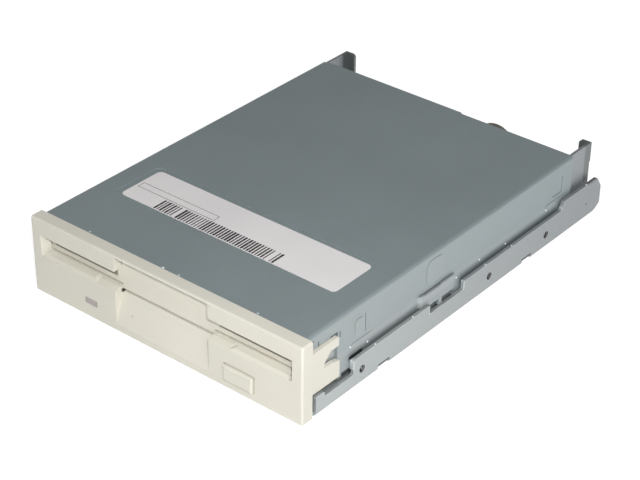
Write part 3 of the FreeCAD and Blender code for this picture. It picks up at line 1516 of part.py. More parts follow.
def upper_arm():
    """The upper head's arm, drawn as it lies on a disk and stored lifted clear of it."""
    front = head_depth - 4.5
    low = arm_level
    high = low + arm_sheet_height
    y = arm_pivot_depth
    z = arm_pivot_height
    barrel_half = post_half_width - post_ear - 0.4
    blade = plate_z(
        [(-4.0, front), (4.0, front), (6.4, front + 6.0), (6.4, y - 9.0), (barrel_half, y - 5.0),
         (barrel_half, y - 3.0), (-barrel_half, y - 3.0), (-barrel_half, y - 5.0), (-6.4, y - 9.0),
         (-6.4, front + 6.0)],
        low, high,
    )
    neck = plate_x(
        [(y - 5.0, low), (y - 2.4, low), (y + 0.4, z - 1.2), (y + 0.4, z + 1.2), (y - 2.4, z + 0.2),
         (y - 5.0, high)],
        -barrel_half, barrel_half,
    )
    barrel = round_x(1.4, -barrel_half, barrel_half, y, z)
    ribs = [box(x - 0.5, x + 0.5, front + 3.0, y - 4.5, high, high + 0.5) for x in (-5.2, 5.2)]
    seat_half = head_half + 0.8
    gimbal = box(-seat_half, seat_half, head_depth - seat_half, head_depth + seat_half, low - 0.9, low)
    bore = round_x(arm_pin_radius + running_gap, -post_half_width, post_half_width, y, z)
    spring_room = round_x(1.9, -1.4, 1.4, y, z)
    return raised(cut(fuse([blade, neck, barrel, gimbal] + ribs), [bore, spring_room]))


def arm_pin():
    """The upper arm's hinge pin."""
    end = post_half_width + 0.2
    return round_x(arm_pin_radius, -end, end, arm_pivot_depth, arm_pivot_height)


def arm_spring():
    """The wound spring on the arm's pin, which loads the upper head."""
    coil = round_x(1.5, -1.2, 1.2, arm_pivot_depth, arm_pivot_height)
    return coil.cut(round_x(arm_pin_radius + seat_gap, -2, 2, arm_pivot_depth, arm_pivot_height))


def lead_screw():
    """The stepper's shaft with its helical groove, from the end bearing into the motor."""
    start = bearing_ear_rear + 0.6
    end = bracket_front - 0.4
    blank = fuse([
        round_y(screw_tip_radius, bearing_ear_front + 0.1, start + 0.1, screw_side, screw_axis_height),
        round_y(screw_tip_radius, end - 0.1, bracket_rear + 8.0, screw_side, screw_axis_height),
        round_y(screw_radius, start, end, screw_side, screw_axis_height),
    ])
    turns = (end - start - 2.0) / screw_pitch
    helix = Part.makeHelix(screw_pitch, turns * screw_pitch, screw_radius)
    depth = screw_radius - screw_core_radius
    groove = Part.Wire(Part.makePolygon([
        Vector(screw_radius - depth, 0, 0), Vector(screw_radius + 0.3, 0, -0.9),
        Vector(screw_radius + 0.3, 0, 0.9), Vector(screw_radius - depth, 0, 0),
    ]).Edges)
    cutter = Part.Wire(helix.Edges).makePipeShell([groove], True, True)
    cutter.rotate(Vector(0, 0, 0), Vector(1, 0, 0), -90)
    cutter.translate(Vector(screw_side, start + 1.0, screw_axis_height))
    return blank.cut(cutter)


def stepper_motor():
    """The stepper motor's round can: two stator cups, a rear cap and a lead block."""
    x = screw_side
    z = screw_axis_height
    r = stepper_radius
    front = bracket_rear
    rear = stepper_rear
    middle = (front + rear) / 2
    bore = screw_tip_radius + seat_gap
    profile = [
        (bore, front), (r - 0.4, front), (r, front + 0.4), (r, middle - 0.3), (r - 0.5, middle),
        (r, middle + 0.3), (r, rear - 1.2), (r - 1.2, rear), (bore, rear),
    ]
    wire = outline(profile, 0, lambda p: Vector(p.x, p.y, 0))
    can = Part.Face(wire).revolve(Vector(0, 0, 0), Vector(0, 1, 0), 360)
    can.translate(Vector(x, 0, z))
    cap = round_y(2.4, rear - 3.0, rear, x, z)
    block = box(x - 3.4, x + 3.4, front + 3.0, rear - 3.0, z - r - 1.6, z - r + 1.4)
    shaft_hole = round_y(bore, front - 1, bracket_rear + 8.4, x, z)
    return cut(fuse([can, cap, block]), [shaft_hole])


def stepper_bracket():
    """The steel bracket: a plate for the motor, a foot along the deck and an ear for the end bearing."""
    x = screw_side
    z = screw_axis_height
    r = stepper_radius
    low = deck_top
    inner, outer = bracket_foot
    motor_plate = plate_y(
        [(x - r, low + 2.0), (outer, low + 2.0), (outer, z + r - 3.0), (x + r - 4.0, z + r),
         (x - r + 4.0, z + r), (x - r, z + r - 4.0)],
        bracket_front, bracket_rear,
    )
    riser = box(inner, outer, bracket_front, bracket_rear, low, low + 2.5)
    foot = box(inner, outer, bearing_ear_front, bracket_rear, low, low + bracket_sheet)
    ear = plate_y(
        [(x - 3.4, z - 3.4), (inner, low), (outer, low), (outer, z - 4.0), (x + 3.4, z + 2.7),
         (x - 3.4, z + 2.7)],
        bearing_ear_front, bearing_ear_rear,
    )
    tools = [
        round_y(screw_tip_radius + seat_gap, bracket_front - 1, bracket_rear + 1, x, z),
        round_y(bush_radius, bearing_ear_front - 1, bearing_ear_rear + 1, x, z),
    ]
    tools += [screw_hole(bracket_screw_side, y, 0, low + 3) for y in bracket_screw_depths]
    return cut(fuse([motor_plate, riser, foot, ear]), tools)


def screw_end_bearing():
    """The bush in the bracket's ear that carries the free end of the lead screw."""
    bush = round_y(bush_radius, bearing_ear_front, bearing_ear_rear + 0.3, screw_side, screw_axis_height)
    return bush.cut(round_y(screw_tip_radius + running_gap, 0, overall_depth, screw_side, screw_axis_height))


def track_zero_sensor():
    """The slotted sensor that the carriage's flag enters at the outermost track."""
    x = rod_side - 11.0
    y = head_depth + 15.0
    z = rod_height
    base = box(x, x + 6.0, y - 3.0, y + 3.0, deck_top, z - 1.9)
    back = box(x, x + 2.0, y - 3.0, y + 3.0, deck_top, z + 2.2)
    top = box(x, x + 6.0, y - 3.0, y + 3.0, z + 0.5, z + 2.2)
    return fuse([base, back, top])


def head_cable():
    """The flat cable from the carriage down through the deck to the main board, in one loop."""
    low = main_board_top + 1.0
    high = carriage_bottom - 0.1
    start = head_depth + cable_depth
    bend = post_front - 1.0
    sheet = cable_sheet
    radius = (high - low) / 2
    outer = outline(
        [(start, low), (bend, low), (bend, high), (start + 4.0, high), (start + 4.0, high - sheet),
         (bend - sheet, high - sheet), (bend - sheet, low + sheet), (start, low + sheet)],
        [0, radius, radius, 0, 0, radius - sheet, radius - sheet, 0],
        lambda p: Vector(-cable_half, p.x, p.y),
    )
    return Part.Face(outer).extrude(Vector(2 * cable_half, 0, 0))


# Main board and connectors

def header_pins(count, pitch, rows, row_pitch, size, centre, z_low, y_tip, y_wall):
    """Right-angle pins: tips towards the rear and tails down through the main board."""
    pins = []
    columns = round(count / rows)
    for row in range(rows):
        z = z_low + row * row_pitch
        tail = y_wall - 1.2 - (row if rows > 1 else 0) * row_pitch
        for column in range(columns):
            x = centre + (column - (columns - 1) / 2) * pitch
            half = size / 2
            arm = box(x - half, x + half, tail - half, y_tip, z - half, z + half)
            leg = box(x - half, x + half, tail - half, tail + half, main_board_bottom - 0.8, z)
            pins.append(fuse([arm, leg]))
    return pins


def signal_header_pins():
    """The signal connector's two rows of pins."""
    centre = signal_left + signal_width / 2
    z_low = main_board_top + signal_height / 2 - signal_pitch / 2
    return header_pins(signal_pin_count, signal_pitch, 2, signal_pitch, signal_pin_size, centre, z_low,
                       connector_rear - pin_tip_inset, connector_front)


def power_header_pins():
    """The power connector's row of pins."""
    z_low = main_board_top + power_height / 2
    return header_pins(power_pin_count, power_pitch, 1, 0, power_pin_size, power_centre, z_low,
                       connector_rear - pin_tip_inset - 0.4, connector_front)


def signal_header():
    """The signal connector's shell: a box open to the rear with a keying notch on top."""
    left = signal_left
    right = signal_left + signal_width
    low = main_board_top
    high = low + signal_height
    rear = connector_rear
    wall = connector_wall
    shell = box(left, right, connector_front, rear, low, high)
    cavity = box(left + wall, right - wall, connector_front + 1.6, rear + 1, low + wall, high - wall)
    centre = (left + right) / 2
    notch = box(centre - key_half, centre + key_half, connector_front + 3.5, rear + 1,
                high - wall - 1, high + 1)
    shell = cut(shell, [cavity, notch])
    return shell.cut(Part.makeCompound(signal_header_pins()))


def power_header():
    """The power connector's shell: a back wall, a floor and two side ribs, open above."""
    left = power_centre - power_width / 2
    right = power_centre + power_width / 2
    low = main_board_top
    high = low + power_height
    rear = connector_rear
    wall = connector_wall
    shell = box(left, right, connector_front, rear, low, high)
    cavity = box(left + wall, right - wall, connector_front + 2.0, rear + 1, low + wall, high + 1)
    side_cut = box(left - 1, right + 1, connector_front + 5.5, rear + 1, high - 2.2, high + 1)
    shell = cut(shell, [cavity, side_cut])
    return shell.cut(Part.makeCompound(power_header_pins()))


def main_board():
    """The main circuit board under the rear of the deck, with holes for its pins and screws."""
    half = step_inner - board_gap
    front = disk_edge - 4.0
    rear = connector_rear - 0.5
    points = [
        (-half, front), (-12.0, front), (-12.0, disk_edge), (12.0, disk_edge), (12.0, front), (half, front),
        (half, rear), (-half, rear),
    ]
    board = plate_z(points, main_board_bottom, main_board_top)
    holes = [screw_hole(x, y, 0, deck_top) for x, y in board_screw_spots]
    pins = Part.makeCompound(signal_header_pins() + power_header_pins())
    return cut(board.cut(pins), holes)


def board_screws():
    """The screws that hold the main board up against the deck's bosses."""
    length = main_board_sheet + main_board_gap + frame_sheet
    return [screw(x, y, main_board_bottom, length, up=False) for x, y in board_screw_spots]


def chip(x, y, width, length, height, legs, pitch):
    """A flat chip under the main board: a body and rows of legs along two sides."""
    top = main_board_bottom
    body = box(x - width / 2, x + width / 2, y - length / 2, y + length / 2, top - height, top - 0.1)
    pieces = [body]
    for side in (-1, 1):
        for i in range(legs):
            leg_x = x + (i - (legs - 1) / 2) * pitch
            y0 = y + side * length / 2
            y1 = y0 + side * 1.0
            low, high = sorted((y0, y1))
            pieces.append(box(leg_x - pitch / 4, leg_x + pitch / 4, low - 0.1, high + 0.1, top - 0.5, top))
    return fuse(pieces)


def board_chips():
    """The controller and the two driver chips on the underside of the main board."""
    chips = []
    for (x, past), size, legs in zip(chip_spots, chip_sizes, chip_leg_counts):
        chips.append(chip(x, disk_edge + past, *size, legs, chip_leg_pitch))
    return chips


def cable_socket():
    """The socket on the main board that takes the flat head cable."""
    y = head_depth + cable_depth
    low = main_board_top
    body = box(-cable_half - 1.0, cable_half + 1.0, y - 2.6, y + 0.4, low, low + 1.5)
    well_half = cable_half + seat_gap
    return body.cut(box(-well_half, well_half, y - 0.01, y + 1, low + 0.9, low + 1.4))


# Every sub-part's node and what makes it. A list holds like pieces as separate solids.
nodes = {
    "chassis_frame": chassis_frame,
    "guide_wall_right": guide_wall,
    "guide_wall_left": left_guide_wall,
    "guide_rivets": guide_rivets,
    "top_cover": top_cover,
    "front_bezel": front_bezel,
    "activity_lamp": activity_lamp,
    "door_flap": door_flap,
    "door_spring": door_spring,
    "eject_button": eject_button,
    "slide_plate": slide_plate,
    "eject_springs": eject_springs,
    "spring_posts": spring_posts,
    "disk_carrier": disk_carrier,
    "shutter_lever": shutter_lever,
    "shutter_post": shutter_post,
    "shutter_spring": shutter_spring,
    "latch_lever": latch_lever,
    "latch_post": latch_post,
    "latch_spring": latch_spring,
    "motor_board": motor_board,
    "deck_screws": deck_screws,
    "spindle_bearing": spindle_bearing,
    "stator_core": stator_core,
    "stator_coils": stator_coils,
    "rotor_yoke": rotor_yoke,
    "rotor_magnet": rotor_magnet,
    "spindle_shaft": spindle_shaft,
    "disk_chuck": disk_chuck,
    "drive_pin": drive_pin,
    "index_sensor": index_sensor,
    "front_switches": front_switches,
    "write_protect_plunger": lambda: switch_plunger("write_protect"),
    "density_plunger": lambda: switch_plunger("density"),
    "disk_in_plunger": lambda: switch_plunger("disk_in"),
    "height_posts": height_posts,
    "guide_rod": guide_rod,
    "rod_clamps": rod_clamps,
    "head_carriage": head_carriage,
    "follower_pin": follower_pin,
    "lower_head": lower_head,
    "upper_arm": upper_arm,
    "upper_head": upper_head,
    "arm_pin": arm_pin,
    "arm_spring": arm_spring,
    "lead_screw": lead_screw,
    "stepper_motor": stepper_motor,
    "stepper_bracket": stepper_bracket,
    "screw_end_bearing": screw_end_bearing,
    "track_zero_sensor": track_zero_sensor,
    "head_cable": head_cable,
    "cable_socket": cable_socket,
    "signal_header": signal_header,
    "signal_header_pins": signal_header_pins,
    "power_header": power_header,
    "power_header_pins": power_header_pins,
    "main_board": main_board,
    "board_screws": board_screws,
    "board_chips": board_chips,
}

os.makedirs("parts", exist_ok=True)
for name, make in nodes.items():
    made = make()
    shape = Part.makeCompound(made) if isinstance(made, list) else made
    shape.translate(Vector(0, (button_stand - overall_depth) / 2, 0))
    shape.exportStep(os.path.join("parts", name + ".step"))
    print(name, len(shape.Solids), "solid(s), valid:", shape.isValid())
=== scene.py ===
# %% [markdown]
# # A 3.5-inch floppy disk drive
# The drive is a flat steel case with a cream plastic front. Its solids come ready made, in metres, each
# one where it belongs, so this lesson adds what solids lack: finishes, a label, wound springs, small
# parts on the circuit boards, light and a camera. Places on the drive are given in millimetres, with the
# depth counted backwards from the face of the bezel; lights and node trees use metres.

# %% Load the drive's solids
import bpy
import bmesh
import json
import math
import random
from mathutils import Matrix, Vector


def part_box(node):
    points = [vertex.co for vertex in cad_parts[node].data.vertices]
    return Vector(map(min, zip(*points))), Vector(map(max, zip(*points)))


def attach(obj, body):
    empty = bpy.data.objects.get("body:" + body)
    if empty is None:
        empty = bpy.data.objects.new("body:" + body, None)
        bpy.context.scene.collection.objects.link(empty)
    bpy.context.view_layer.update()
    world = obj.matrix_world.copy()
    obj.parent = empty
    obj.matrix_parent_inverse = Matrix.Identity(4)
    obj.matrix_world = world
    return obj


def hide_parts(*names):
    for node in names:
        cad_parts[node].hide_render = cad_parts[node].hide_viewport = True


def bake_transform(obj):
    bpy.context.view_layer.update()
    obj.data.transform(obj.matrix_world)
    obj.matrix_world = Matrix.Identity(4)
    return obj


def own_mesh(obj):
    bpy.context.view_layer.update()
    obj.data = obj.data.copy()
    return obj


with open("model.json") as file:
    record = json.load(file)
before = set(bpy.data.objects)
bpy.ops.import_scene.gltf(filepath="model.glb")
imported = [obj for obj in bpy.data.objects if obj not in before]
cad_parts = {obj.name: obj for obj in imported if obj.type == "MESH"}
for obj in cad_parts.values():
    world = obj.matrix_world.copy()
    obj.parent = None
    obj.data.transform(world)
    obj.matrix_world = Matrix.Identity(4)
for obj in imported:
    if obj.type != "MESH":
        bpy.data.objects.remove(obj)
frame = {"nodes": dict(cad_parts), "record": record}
scene = bpy.context.scene
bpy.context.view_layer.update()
bezel_face = -72.5    # in the frame's y


def place(x, depth, z):
    """A point of the drive, given in millimetres, as the frame's metres."""
    return Vector((x, depth + bezel_face, z)) / 1000


def linear(red, green, blue):
    """A colour read off a screen, from 0 to 255, as the shader wants it."""
    parts = [c / 255 for c in (red, green, blue)]
    return tuple(c / 12.92 if c <= 0.04045 else ((c + 0.055) / 1.055) ** 2.4 for c in parts) + (1.0,)


def shown(name, data):
    """A new object, put into the scene."""
    made = bpy.data.objects.new(name, data)
    scene.collection.objects.link(made)
    return made


# %% [markdown]
# ## The camera
# The drive was photographed from its front right corner, from above. Working the lines of the picture
# backwards gives the camera's place, the way it looks and a long lens. A camera is only a matrix: its
# three columns are right, up and backwards, so the roll is put in by turning the first two.

# %% Camera
azimuth, elevation, roll = math.radians(39.02), math.radians(32.23), math.radians(0.74)
camera_place = place(294.76, -294.59, 299.69)
lens_length, sensor_width = 103.03, 36    # in millimetres
ahead = Vector((-math.sin(azimuth) * math.cos(elevation), math.cos(azimuth) * math.cos(elevation),
                -math.sin(elevation)))
level = ahead.cross(Vector((0, 0, 1))).normalized()
upward = level.cross(ahead)
right = level * math.cos(roll) + upward * math.sin(roll)
top = -level * math.sin(roll) + upward * math.cos(roll)
camera = shown("camera", bpy.data.cameras.new("camera"))
scene.camera = camera
camera.data.sensor_width = sensor_width
camera.data.lens = lens_length
pose = Matrix((right, top, -ahead)).transposed().to_4x4()
pose.translation = camera_place
camera.matrix_world = pose
print("camera at", [round(v, 3) for v in camera.location])

# %% [markdown]
# ## Writing node trees
# The studio, the finishes and the repeated pieces are all node trees. They are easier to read when the
# wiring is short, so this little helper adds a node, feeds each of its inputs with a value, a socket or
# the first output of another node, and has words for the sums that come up often.

# %% A helper for node trees
class Net:
    """Adds and joins nodes in one tree."""

    def __init__(self, tree):
        self.tree = tree

    def add(self, kind, feeds=None, **settings):
        node = self.tree.nodes.new(kind)
        for key, value in settings.items():
            setattr(node, key, value)
        for key, value in (feeds or {}).items():
            self.feed(node.inputs[key], value)
        return node

    def feed(self, socket, value):
        if isinstance(value, bpy.types.Node):
            value = value.outputs[0]
        if isinstance(value, bpy.types.NodeSocket):
            self.tree.links.new(value, socket)
        else:
            socket.default_value = value

    def sum(self, operation, a, b=0.0, clamp=False):
        return self.add("ShaderNodeMath", {0: a, 1: b}, operation=operation, use_clamp=clamp)

    def times(self, a, b, clamp=False):
        return self.sum("MULTIPLY", a, b, clamp)

    def vector(self, operation, a, b=(0.0, 0.0, 0.0), out="Vector"):
        return self.add("ShaderNodeVectorMath", {0: a, 1: b}, operation=operation).outputs[out]

    def split(self, vector):
        return self.add("ShaderNodeSeparateXYZ", {0: vector}).outputs

    def combine(self, x=0.0, y=0.0, z=0.0):
        return self.add("ShaderNodeCombineXYZ", {0: x, 1: y, 2: z})

    def between(self, value, low, high, to_low=0.0, to_high=1.0):
        return self.add("ShaderNodeMapRange", {0: value, 1: low, 2: high, 3: to_low, 4: to_high})

    def mix(self, factor, a, b, kind="MIX"):
        node = self.add("ShaderNodeMix", data_type="RGBA", blend_type=kind)
        self.feed(node.inputs[0], factor)
        self.feed(node.inputs[6], a)
        self.feed(node.inputs[7], b)
        return node.outputs[2]

    def noise(self, vector, scale, detail=2.0, rough=0.5):
        feeds = {"Vector": vector, "Scale": scale, "Detail": detail, "Roughness": rough}
        return self.add("ShaderNodeTexNoise", feeds).outputs["Fac"]

    def here(self):
        return self.add("ShaderNodeTexCoord").outputs["Object"]

    def group(self, tree, feeds=None):
        return self.add("ShaderNodeGroup", feeds, node_tree=tree)

    def stretched(self, vector, scale):
        return self.add("ShaderNodeMapping", {"Vector": vector, "Scale": scale})


def cleared(owner):
    """The empty node tree of a material or a world, in the helper."""
    owner.use_nodes = True
    owner.node_tree.nodes.clear()
    return Net(owner.node_tree)


socket_kinds = {float: "NodeSocketFloat", int: "NodeSocketInt", tuple: "NodeSocketVector",
                type(None): "NodeSocketMaterial"}


def open_tree(tree, inputs):
    """Gives a tree its named inputs, and returns the sockets at its two ends."""
    for title, value in inputs.items():
        socket = tree.interface.new_socket(title, in_out="INPUT", socket_type=socket_kinds[type(value)])
        if value is not None:
            socket.default_value = value
    return Net(tree), tree.nodes.new("NodeGroupInput").outputs, tree.nodes.new("NodeGroupOutput").inputs


def shader_group(name, inputs, outputs):
    """An empty shader group with its sockets. All it puts out are masks and heights."""
    tree = bpy.data.node_groups.new(name, "ShaderNodeTree")
    for title in outputs:
        tree.interface.new_socket(title, in_out="OUTPUT", socket_type="NodeSocketFloat")
    return open_tree(tree, inputs)


def geometry_tree(name, inputs):
    """An empty Geometry Nodes tree with named inputs."""
    tree = bpy.data.node_groups.new(name, "GeometryNodeTree")
    for way in ("INPUT", "OUTPUT"):
        tree.interface.new_socket("Geometry", in_out=way, socket_type="NodeSocketGeometry")
    return open_tree(tree, inputs)


print("kinds of input:", sorted(socket_kinds.values()))

# %% [markdown]
# ## The studio
# The light looks like one small flash just above and right of the camera. Here it is two lamps in one
# place, one that only lights and a weaker one that only shines, so the flat cover never glares. A lamp
# from the upper right lifts the top, and one from the rear lights the far side. White paper lies all
# round. The camera and the shiny metal see it, but it hardly lights the drive, or the cream plastic
# would burn out. Light Path tells the two apart.

# %% Lamps
def soft_lamp(name, where, width, watts):
    """A white square area lamp that faces the drive."""
    data = bpy.data.lights.new(name, "AREA")
    data.shape = "SQUARE"
    data.size = width
    data.energy = watts
    lamp = shown(name, data)
    lamp.location = where
    lamp.rotation_mode = "QUATERNION"
    lamp.rotation_quaternion = (lamp_target - lamp.location).to_track_quat("-Z", "Y")
    return lamp


lamp_target = Vector((0, 0, 0.01))
flash_place, flash_width, flash_watts = Vector((0.312, -0.352, 0.335)), 0.05, 2.76
shine_share = 0.25
flash = soft_lamp("flash", flash_place, flash_width, flash_watts)
flash.visible_glossy = False
flash_shine = soft_lamp("flash_shine", flash_place, flash_width, flash_watts * shine_share)
flash_shine.visible_diffuse = False
soft_lamp("high_lamp", Vector((0.36, -0.14, 0.36)), 0.25, 0.52)
back_lamp = soft_lamp("back_lamp", Vector((-0.5, 0.4, 0.14)), 0.3, 1.3)
back_lamp.visible_glossy = False    # it leaves no streak on the cover

# %% World and floor
white = (1.0, 1.0, 1.0, 1.0)
room_tint, room_light = (0.97, 0.985, 1.0, 1.0), 0.18
card_white, paper_glow = 0.86, 1.2
glow_in_camera, glow_in_metal = 0.75, 0.9    # how much of the floor is glowing paper to each

scene.world = bpy.data.worlds.new("studio")
sky = cleared(scene.world)
seen = sky.add("ShaderNodeLightPath").outputs
room = sky.add("ShaderNodeBackground", {"Color": room_tint, "Strength": room_light})
paper = sky.add("ShaderNodeBackground", {"Color": white})
either = sky.sum("MAXIMUM", seen["Is Camera Ray"], seen["Is Transmission Ray"])
pick = sky.add("ShaderNodeMixShader", {0: either, 1: room, 2: paper})
sky.add("ShaderNodeOutputWorld", {0: pick})

floor_paper = bpy.data.materials.new("floor_paper")
sheet = cleared(floor_paper)
seen = sheet.add("ShaderNodeLightPath").outputs
card = sheet.add("ShaderNodeBsdfDiffuse", {"Color": (card_white, card_white, card_white, 1.0)})
glow = sheet.add("ShaderNodeEmission", {"Color": white, "Strength": paper_glow})
share = sheet.sum("MAXIMUM", sheet.times(seen["Is Camera Ray"], glow_in_camera),
                  sheet.times(seen["Is Glossy Ray"], glow_in_metal))
blend = sheet.add("ShaderNodeMixShader", {0: share, 1: card, 2: glow})
sheet.add("ShaderNodeOutputMaterial", {0: blend})

reach = 3.0
floor_mesh = bpy.data.meshes.new("floor")
floor_mesh.from_pydata([(-reach, -reach, 0), (reach, -reach, 0), (reach, reach, 0), (-reach, reach, 0)],
                       [], [(0, 1, 2, 3)])
floor_mesh.materials.append(floor_paper)
floor = shown("floor", floor_mesh)
scene.view_settings.view_transform = "Standard"
print("floor:", 2 * reach, "m wide")

# %% [markdown]
# ## Effects that several finishes share
# Moulded plastic has a fine even grain, and large parts drift a little in tone. Rolled sheet has streaks
# along the way it was rolled and gathers specks, and both get bright edges in use. Some effects belong to
# one place: a box with soft edges masks them. Each effect is one group with named inputs, so a finish only
# says how much of it there is.

# %% Grain and tone of moulded plastic
net, give, take = shader_group("moulded_grain", {"Grain Size": 2600.0, "Tone Size": 28.0}, ["Height", "Tone"])
here = net.here()
net.feed(take["Height"], net.noise(here, give["Grain Size"], 3.0, 0.6))
net.feed(take["Tone"], net.noise(here, give["Tone Size"], 2.0, 0.5))
moulded_grain = net.tree
print("group:", moulded_grain.name)

# %% Streaks of rolled sheet
net, give, take = shader_group("rolled_streaks", {"Across": 3200.0, "Along": 160.0, "Cloud Size": 22.0},
                               ["Height", "Streak", "Cloud"])
grit_scale = 5200.0
here = net.here()
ways = net.combine(give["Across"], give["Along"], give["Across"])
streak = net.noise(net.vector("MULTIPLY", here, ways), 1.0, 3.0, 0.6)
grit = net.noise(here, grit_scale, 2.0, 0.6)
net.feed(take["Height"], net.sum("ADD", net.times(streak, 0.5), net.times(grit, 0.5)))
net.feed(take["Streak"], streak)
net.feed(take["Cloud"], net.noise(here, give["Cloud Size"], 3.0, 0.55))
rolled_streaks = net.tree
print("group:", rolled_streaks.name)

# %% Specks of dust and small knocks
net, give, take = shader_group("specks", {"Spacing": 160.0, "Size": 0.05, "Share": 0.25}, ["Mask"])
cell = net.add("ShaderNodeTexVoronoi", {"Vector": net.here(), "Scale": give["Spacing"]})
chance = net.add("ShaderNodeSeparateColor", {0: cell.outputs["Color"]})
kept = net.sum("LESS_THAN", chance, give["Share"])
near = net.sum("LESS_THAN", cell.outputs["Distance"], give["Size"])
net.feed(take["Mask"], net.times(kept, near))
specks = net.tree
print("group:", specks.name)

# %% Rubbed edges
net, give, take = shader_group("rubbed_edges", {"Reach": 0.0003, "Patchiness": 240.0}, ["Mask"])
rounded = net.add("ShaderNodeBevel", {"Radius": give["Reach"]}, samples=4)
plain = net.add("ShaderNodeNewGeometry").outputs["Normal"]
turned = net.between(net.vector("DOT_PRODUCT", rounded, plain, out="Value"), 0.98, 0.8)
patch = net.between(net.noise(net.here(), give["Patchiness"], 2.0), 0.35, 0.6)
net.feed(take["Mask"], net.times(turned, patch, clamp=True))
rubbed_edges = net.tree
print("group:", rubbed_edges.name)

# %% A soft-edged region
net, give, take = shader_group(
    "soft_region", {"Middle": (0.0, 0.0, 0.0), "Half Size": (0.01, 0.01, 0.01),
                    "Soft Edge": (0.001, 0.001, 0.001), "Both Sides": 1.0}, ["Mask"])
across, back, up = net.split(net.here())
folded = net.between(give["Both Sides"], 0.0, 1.0, across, net.sum("ABSOLUTE", across))
away = net.vector("SUBTRACT", net.combine(folded, back, up), give["Middle"])
away = net.vector("SUBTRACT", net.vector("ABSOLUTE", away), give["Half Size"])
away = net.split(net.vector("DIVIDE", away, give["Soft Edge"]))
inside = [net.between(axis, 0.0, 1.0, 1.0, 0.0) for axis in away]
net.feed(take["Mask"], net.times(net.times(inside[0], inside[1]), inside[2]))
soft_region = net.tree
print("group:", soft_region.name)

# %% [markdown]
# ## Finishes
# A finish is one Principled shader fed by those groups. Two kinds cover most of the drive: sheet metal,
# part metallic so it keeps its own grey under a soft light, and moulded plastic. The numbers that never
# change over a surface, such as the specular level, sit on the shader itself.

# %% Helpers for finishes
materials = {}


def blank(name):
    """A material with only a Principled shader, and the helper to feed it."""
    material = materials[name] = bpy.data.materials.new(name)
    net = cleared(material)
    shader = net.add("ShaderNodeBsdfPrincipled")
    net.add("ShaderNodeOutputMaterial", {0: shader})
    return net, shader


def coat(net, shader, colour, roughness, metallic=0.0):
    """The colour, the roughness and the metallic share of a shader, each a number or a socket."""
    net.feed(shader.inputs["Base Color"], colour)
    net.feed(shader.inputs["Roughness"], roughness)
    net.feed(shader.inputs["Metallic"], metallic)


def bump(net, shader, height, depth, strength=0.5):
    """A height that tilts the surface's normal."""
    node = net.add("ShaderNodeBump", {"Height": height, "Distance": depth, "Strength": strength})
    net.feed(shader.inputs["Normal"], node)


def shade(colour, factor):
    """A colour made darker or lighter."""
    return tuple(min(1.0, c * factor) for c in colour[:3]) + (1.0,)


def grey(share):
    """A tint that darkens or lightens without changing the hue."""
    return (share, share, share)


def toned(net, mask, colour, dark, light):
    """A colour that wanders between a darker and a lighter shade of itself."""
    return net.mix(net.between(mask, 0.3, 0.7), shade(colour, dark), shade(colour, light))


def tinted_places(net, colour, places):
    """Multiplies a colour in soft boxes. Each is its middle, half size and soft edge in millimetres, and a
    tint. It lies on both sides of the drive, or only on the left if its middle does."""
    for middle, half, soft, tint in places:
        mask = net.group(soft_region, {
            "Middle": place(*middle), "Half Size": Vector(half) / 1000, "Soft Edge": Vector(soft) / 1000,
            "Both Sides": 0.0 if middle[0] < 0 else 1.0})
        colour = net.mix(mask, colour, (*tint, 1.0), "MULTIPLY")
    return colour


print("helpers for finishes ready")

# %% Sheet metal and moulded plastic
def sheet_metal(name, colour, metallic, roughness, edges=0.5, rub_gain=1.5, places=()):
    """Plated or zinc-coated sheet with rolling streaks, soft clouds, faintly coloured zinc crystals,
    specks and rubbed edges."""
    drift, rough_drift = 0.06, 0.06
    streak_share, streak_shade = 0.35, 0.93
    speck_spacing, speck_size, speck_chance = 230.0, 0.06, 0.2
    speck_share, speck_shade = 0.35, 1.35
    crystal_scale, crystal_share = 1100.0, 0.05
    net, shader = blank(name)
    rolled = net.group(rolled_streaks)
    speck = net.group(specks, {"Spacing": speck_spacing, "Size": speck_size, "Share": speck_chance})
    rub = net.group(rubbed_edges)
    base = toned(net, rolled.outputs["Cloud"], colour, 1 - drift, 1 + drift)
    streaks = net.between(rolled.outputs["Streak"], 0.3, 0.7, 0.0, streak_share)
    streaked = net.mix(streaks, base, shade(colour, streak_shade))
    spotted = net.mix(net.times(speck, speck_share), streaked, shade(colour, speck_shade))
    edged = net.mix(net.times(rub, edges), spotted, shade(colour, rub_gain))
    crystal = net.add("ShaderNodeTexNoise", {"Vector": net.here(), "Scale": crystal_scale, "Detail": 2.0})
    spangled = net.mix(crystal_share, edged, crystal.outputs["Color"], "OVERLAY")
    rough = net.between(rolled.outputs["Cloud"], 0.25, 0.75, roughness - rough_drift, roughness + rough_drift)
    coat(net, shader, tinted_places(net, spangled, places), rough, metallic)
    bump(net, shader, rolled.outputs["Height"], 0.00002, 0.35)


def moulded(name, colour, roughness, grain=2600.0, depth=0.00004, edges=0.3, places=()):
    """Injection-moulded plastic with a fine grain, slow tone changes and rubbed edges."""
    drift, rough_drift, rub_reach, rub_gain = 0.03, 0.05, 0.0002, 1.25
    net, shader = blank(name)
    body = net.group(moulded_grain, {"Grain Size": grain})
    rub = net.group(rubbed_edges, {"Reach": rub_reach})
    base = toned(net, body.outputs["Tone"], colour, 1 - drift, 1 + drift)
    edged = net.mix(net.times(rub, edges), base, shade(colour, rub_gain))
    rough = net.between(body.outputs["Height"], 0.3, 0.7, roughness - rough_drift, roughness + rough_drift)
    coat(net, shader, tinted_places(net, edged, places), rough)
    shader.inputs["Specular IOR Level"].default_value = 0.4
    bump(net, shader, body.outputs["Height"], depth)
    return shader


print("sheet metal and plastic can be made")
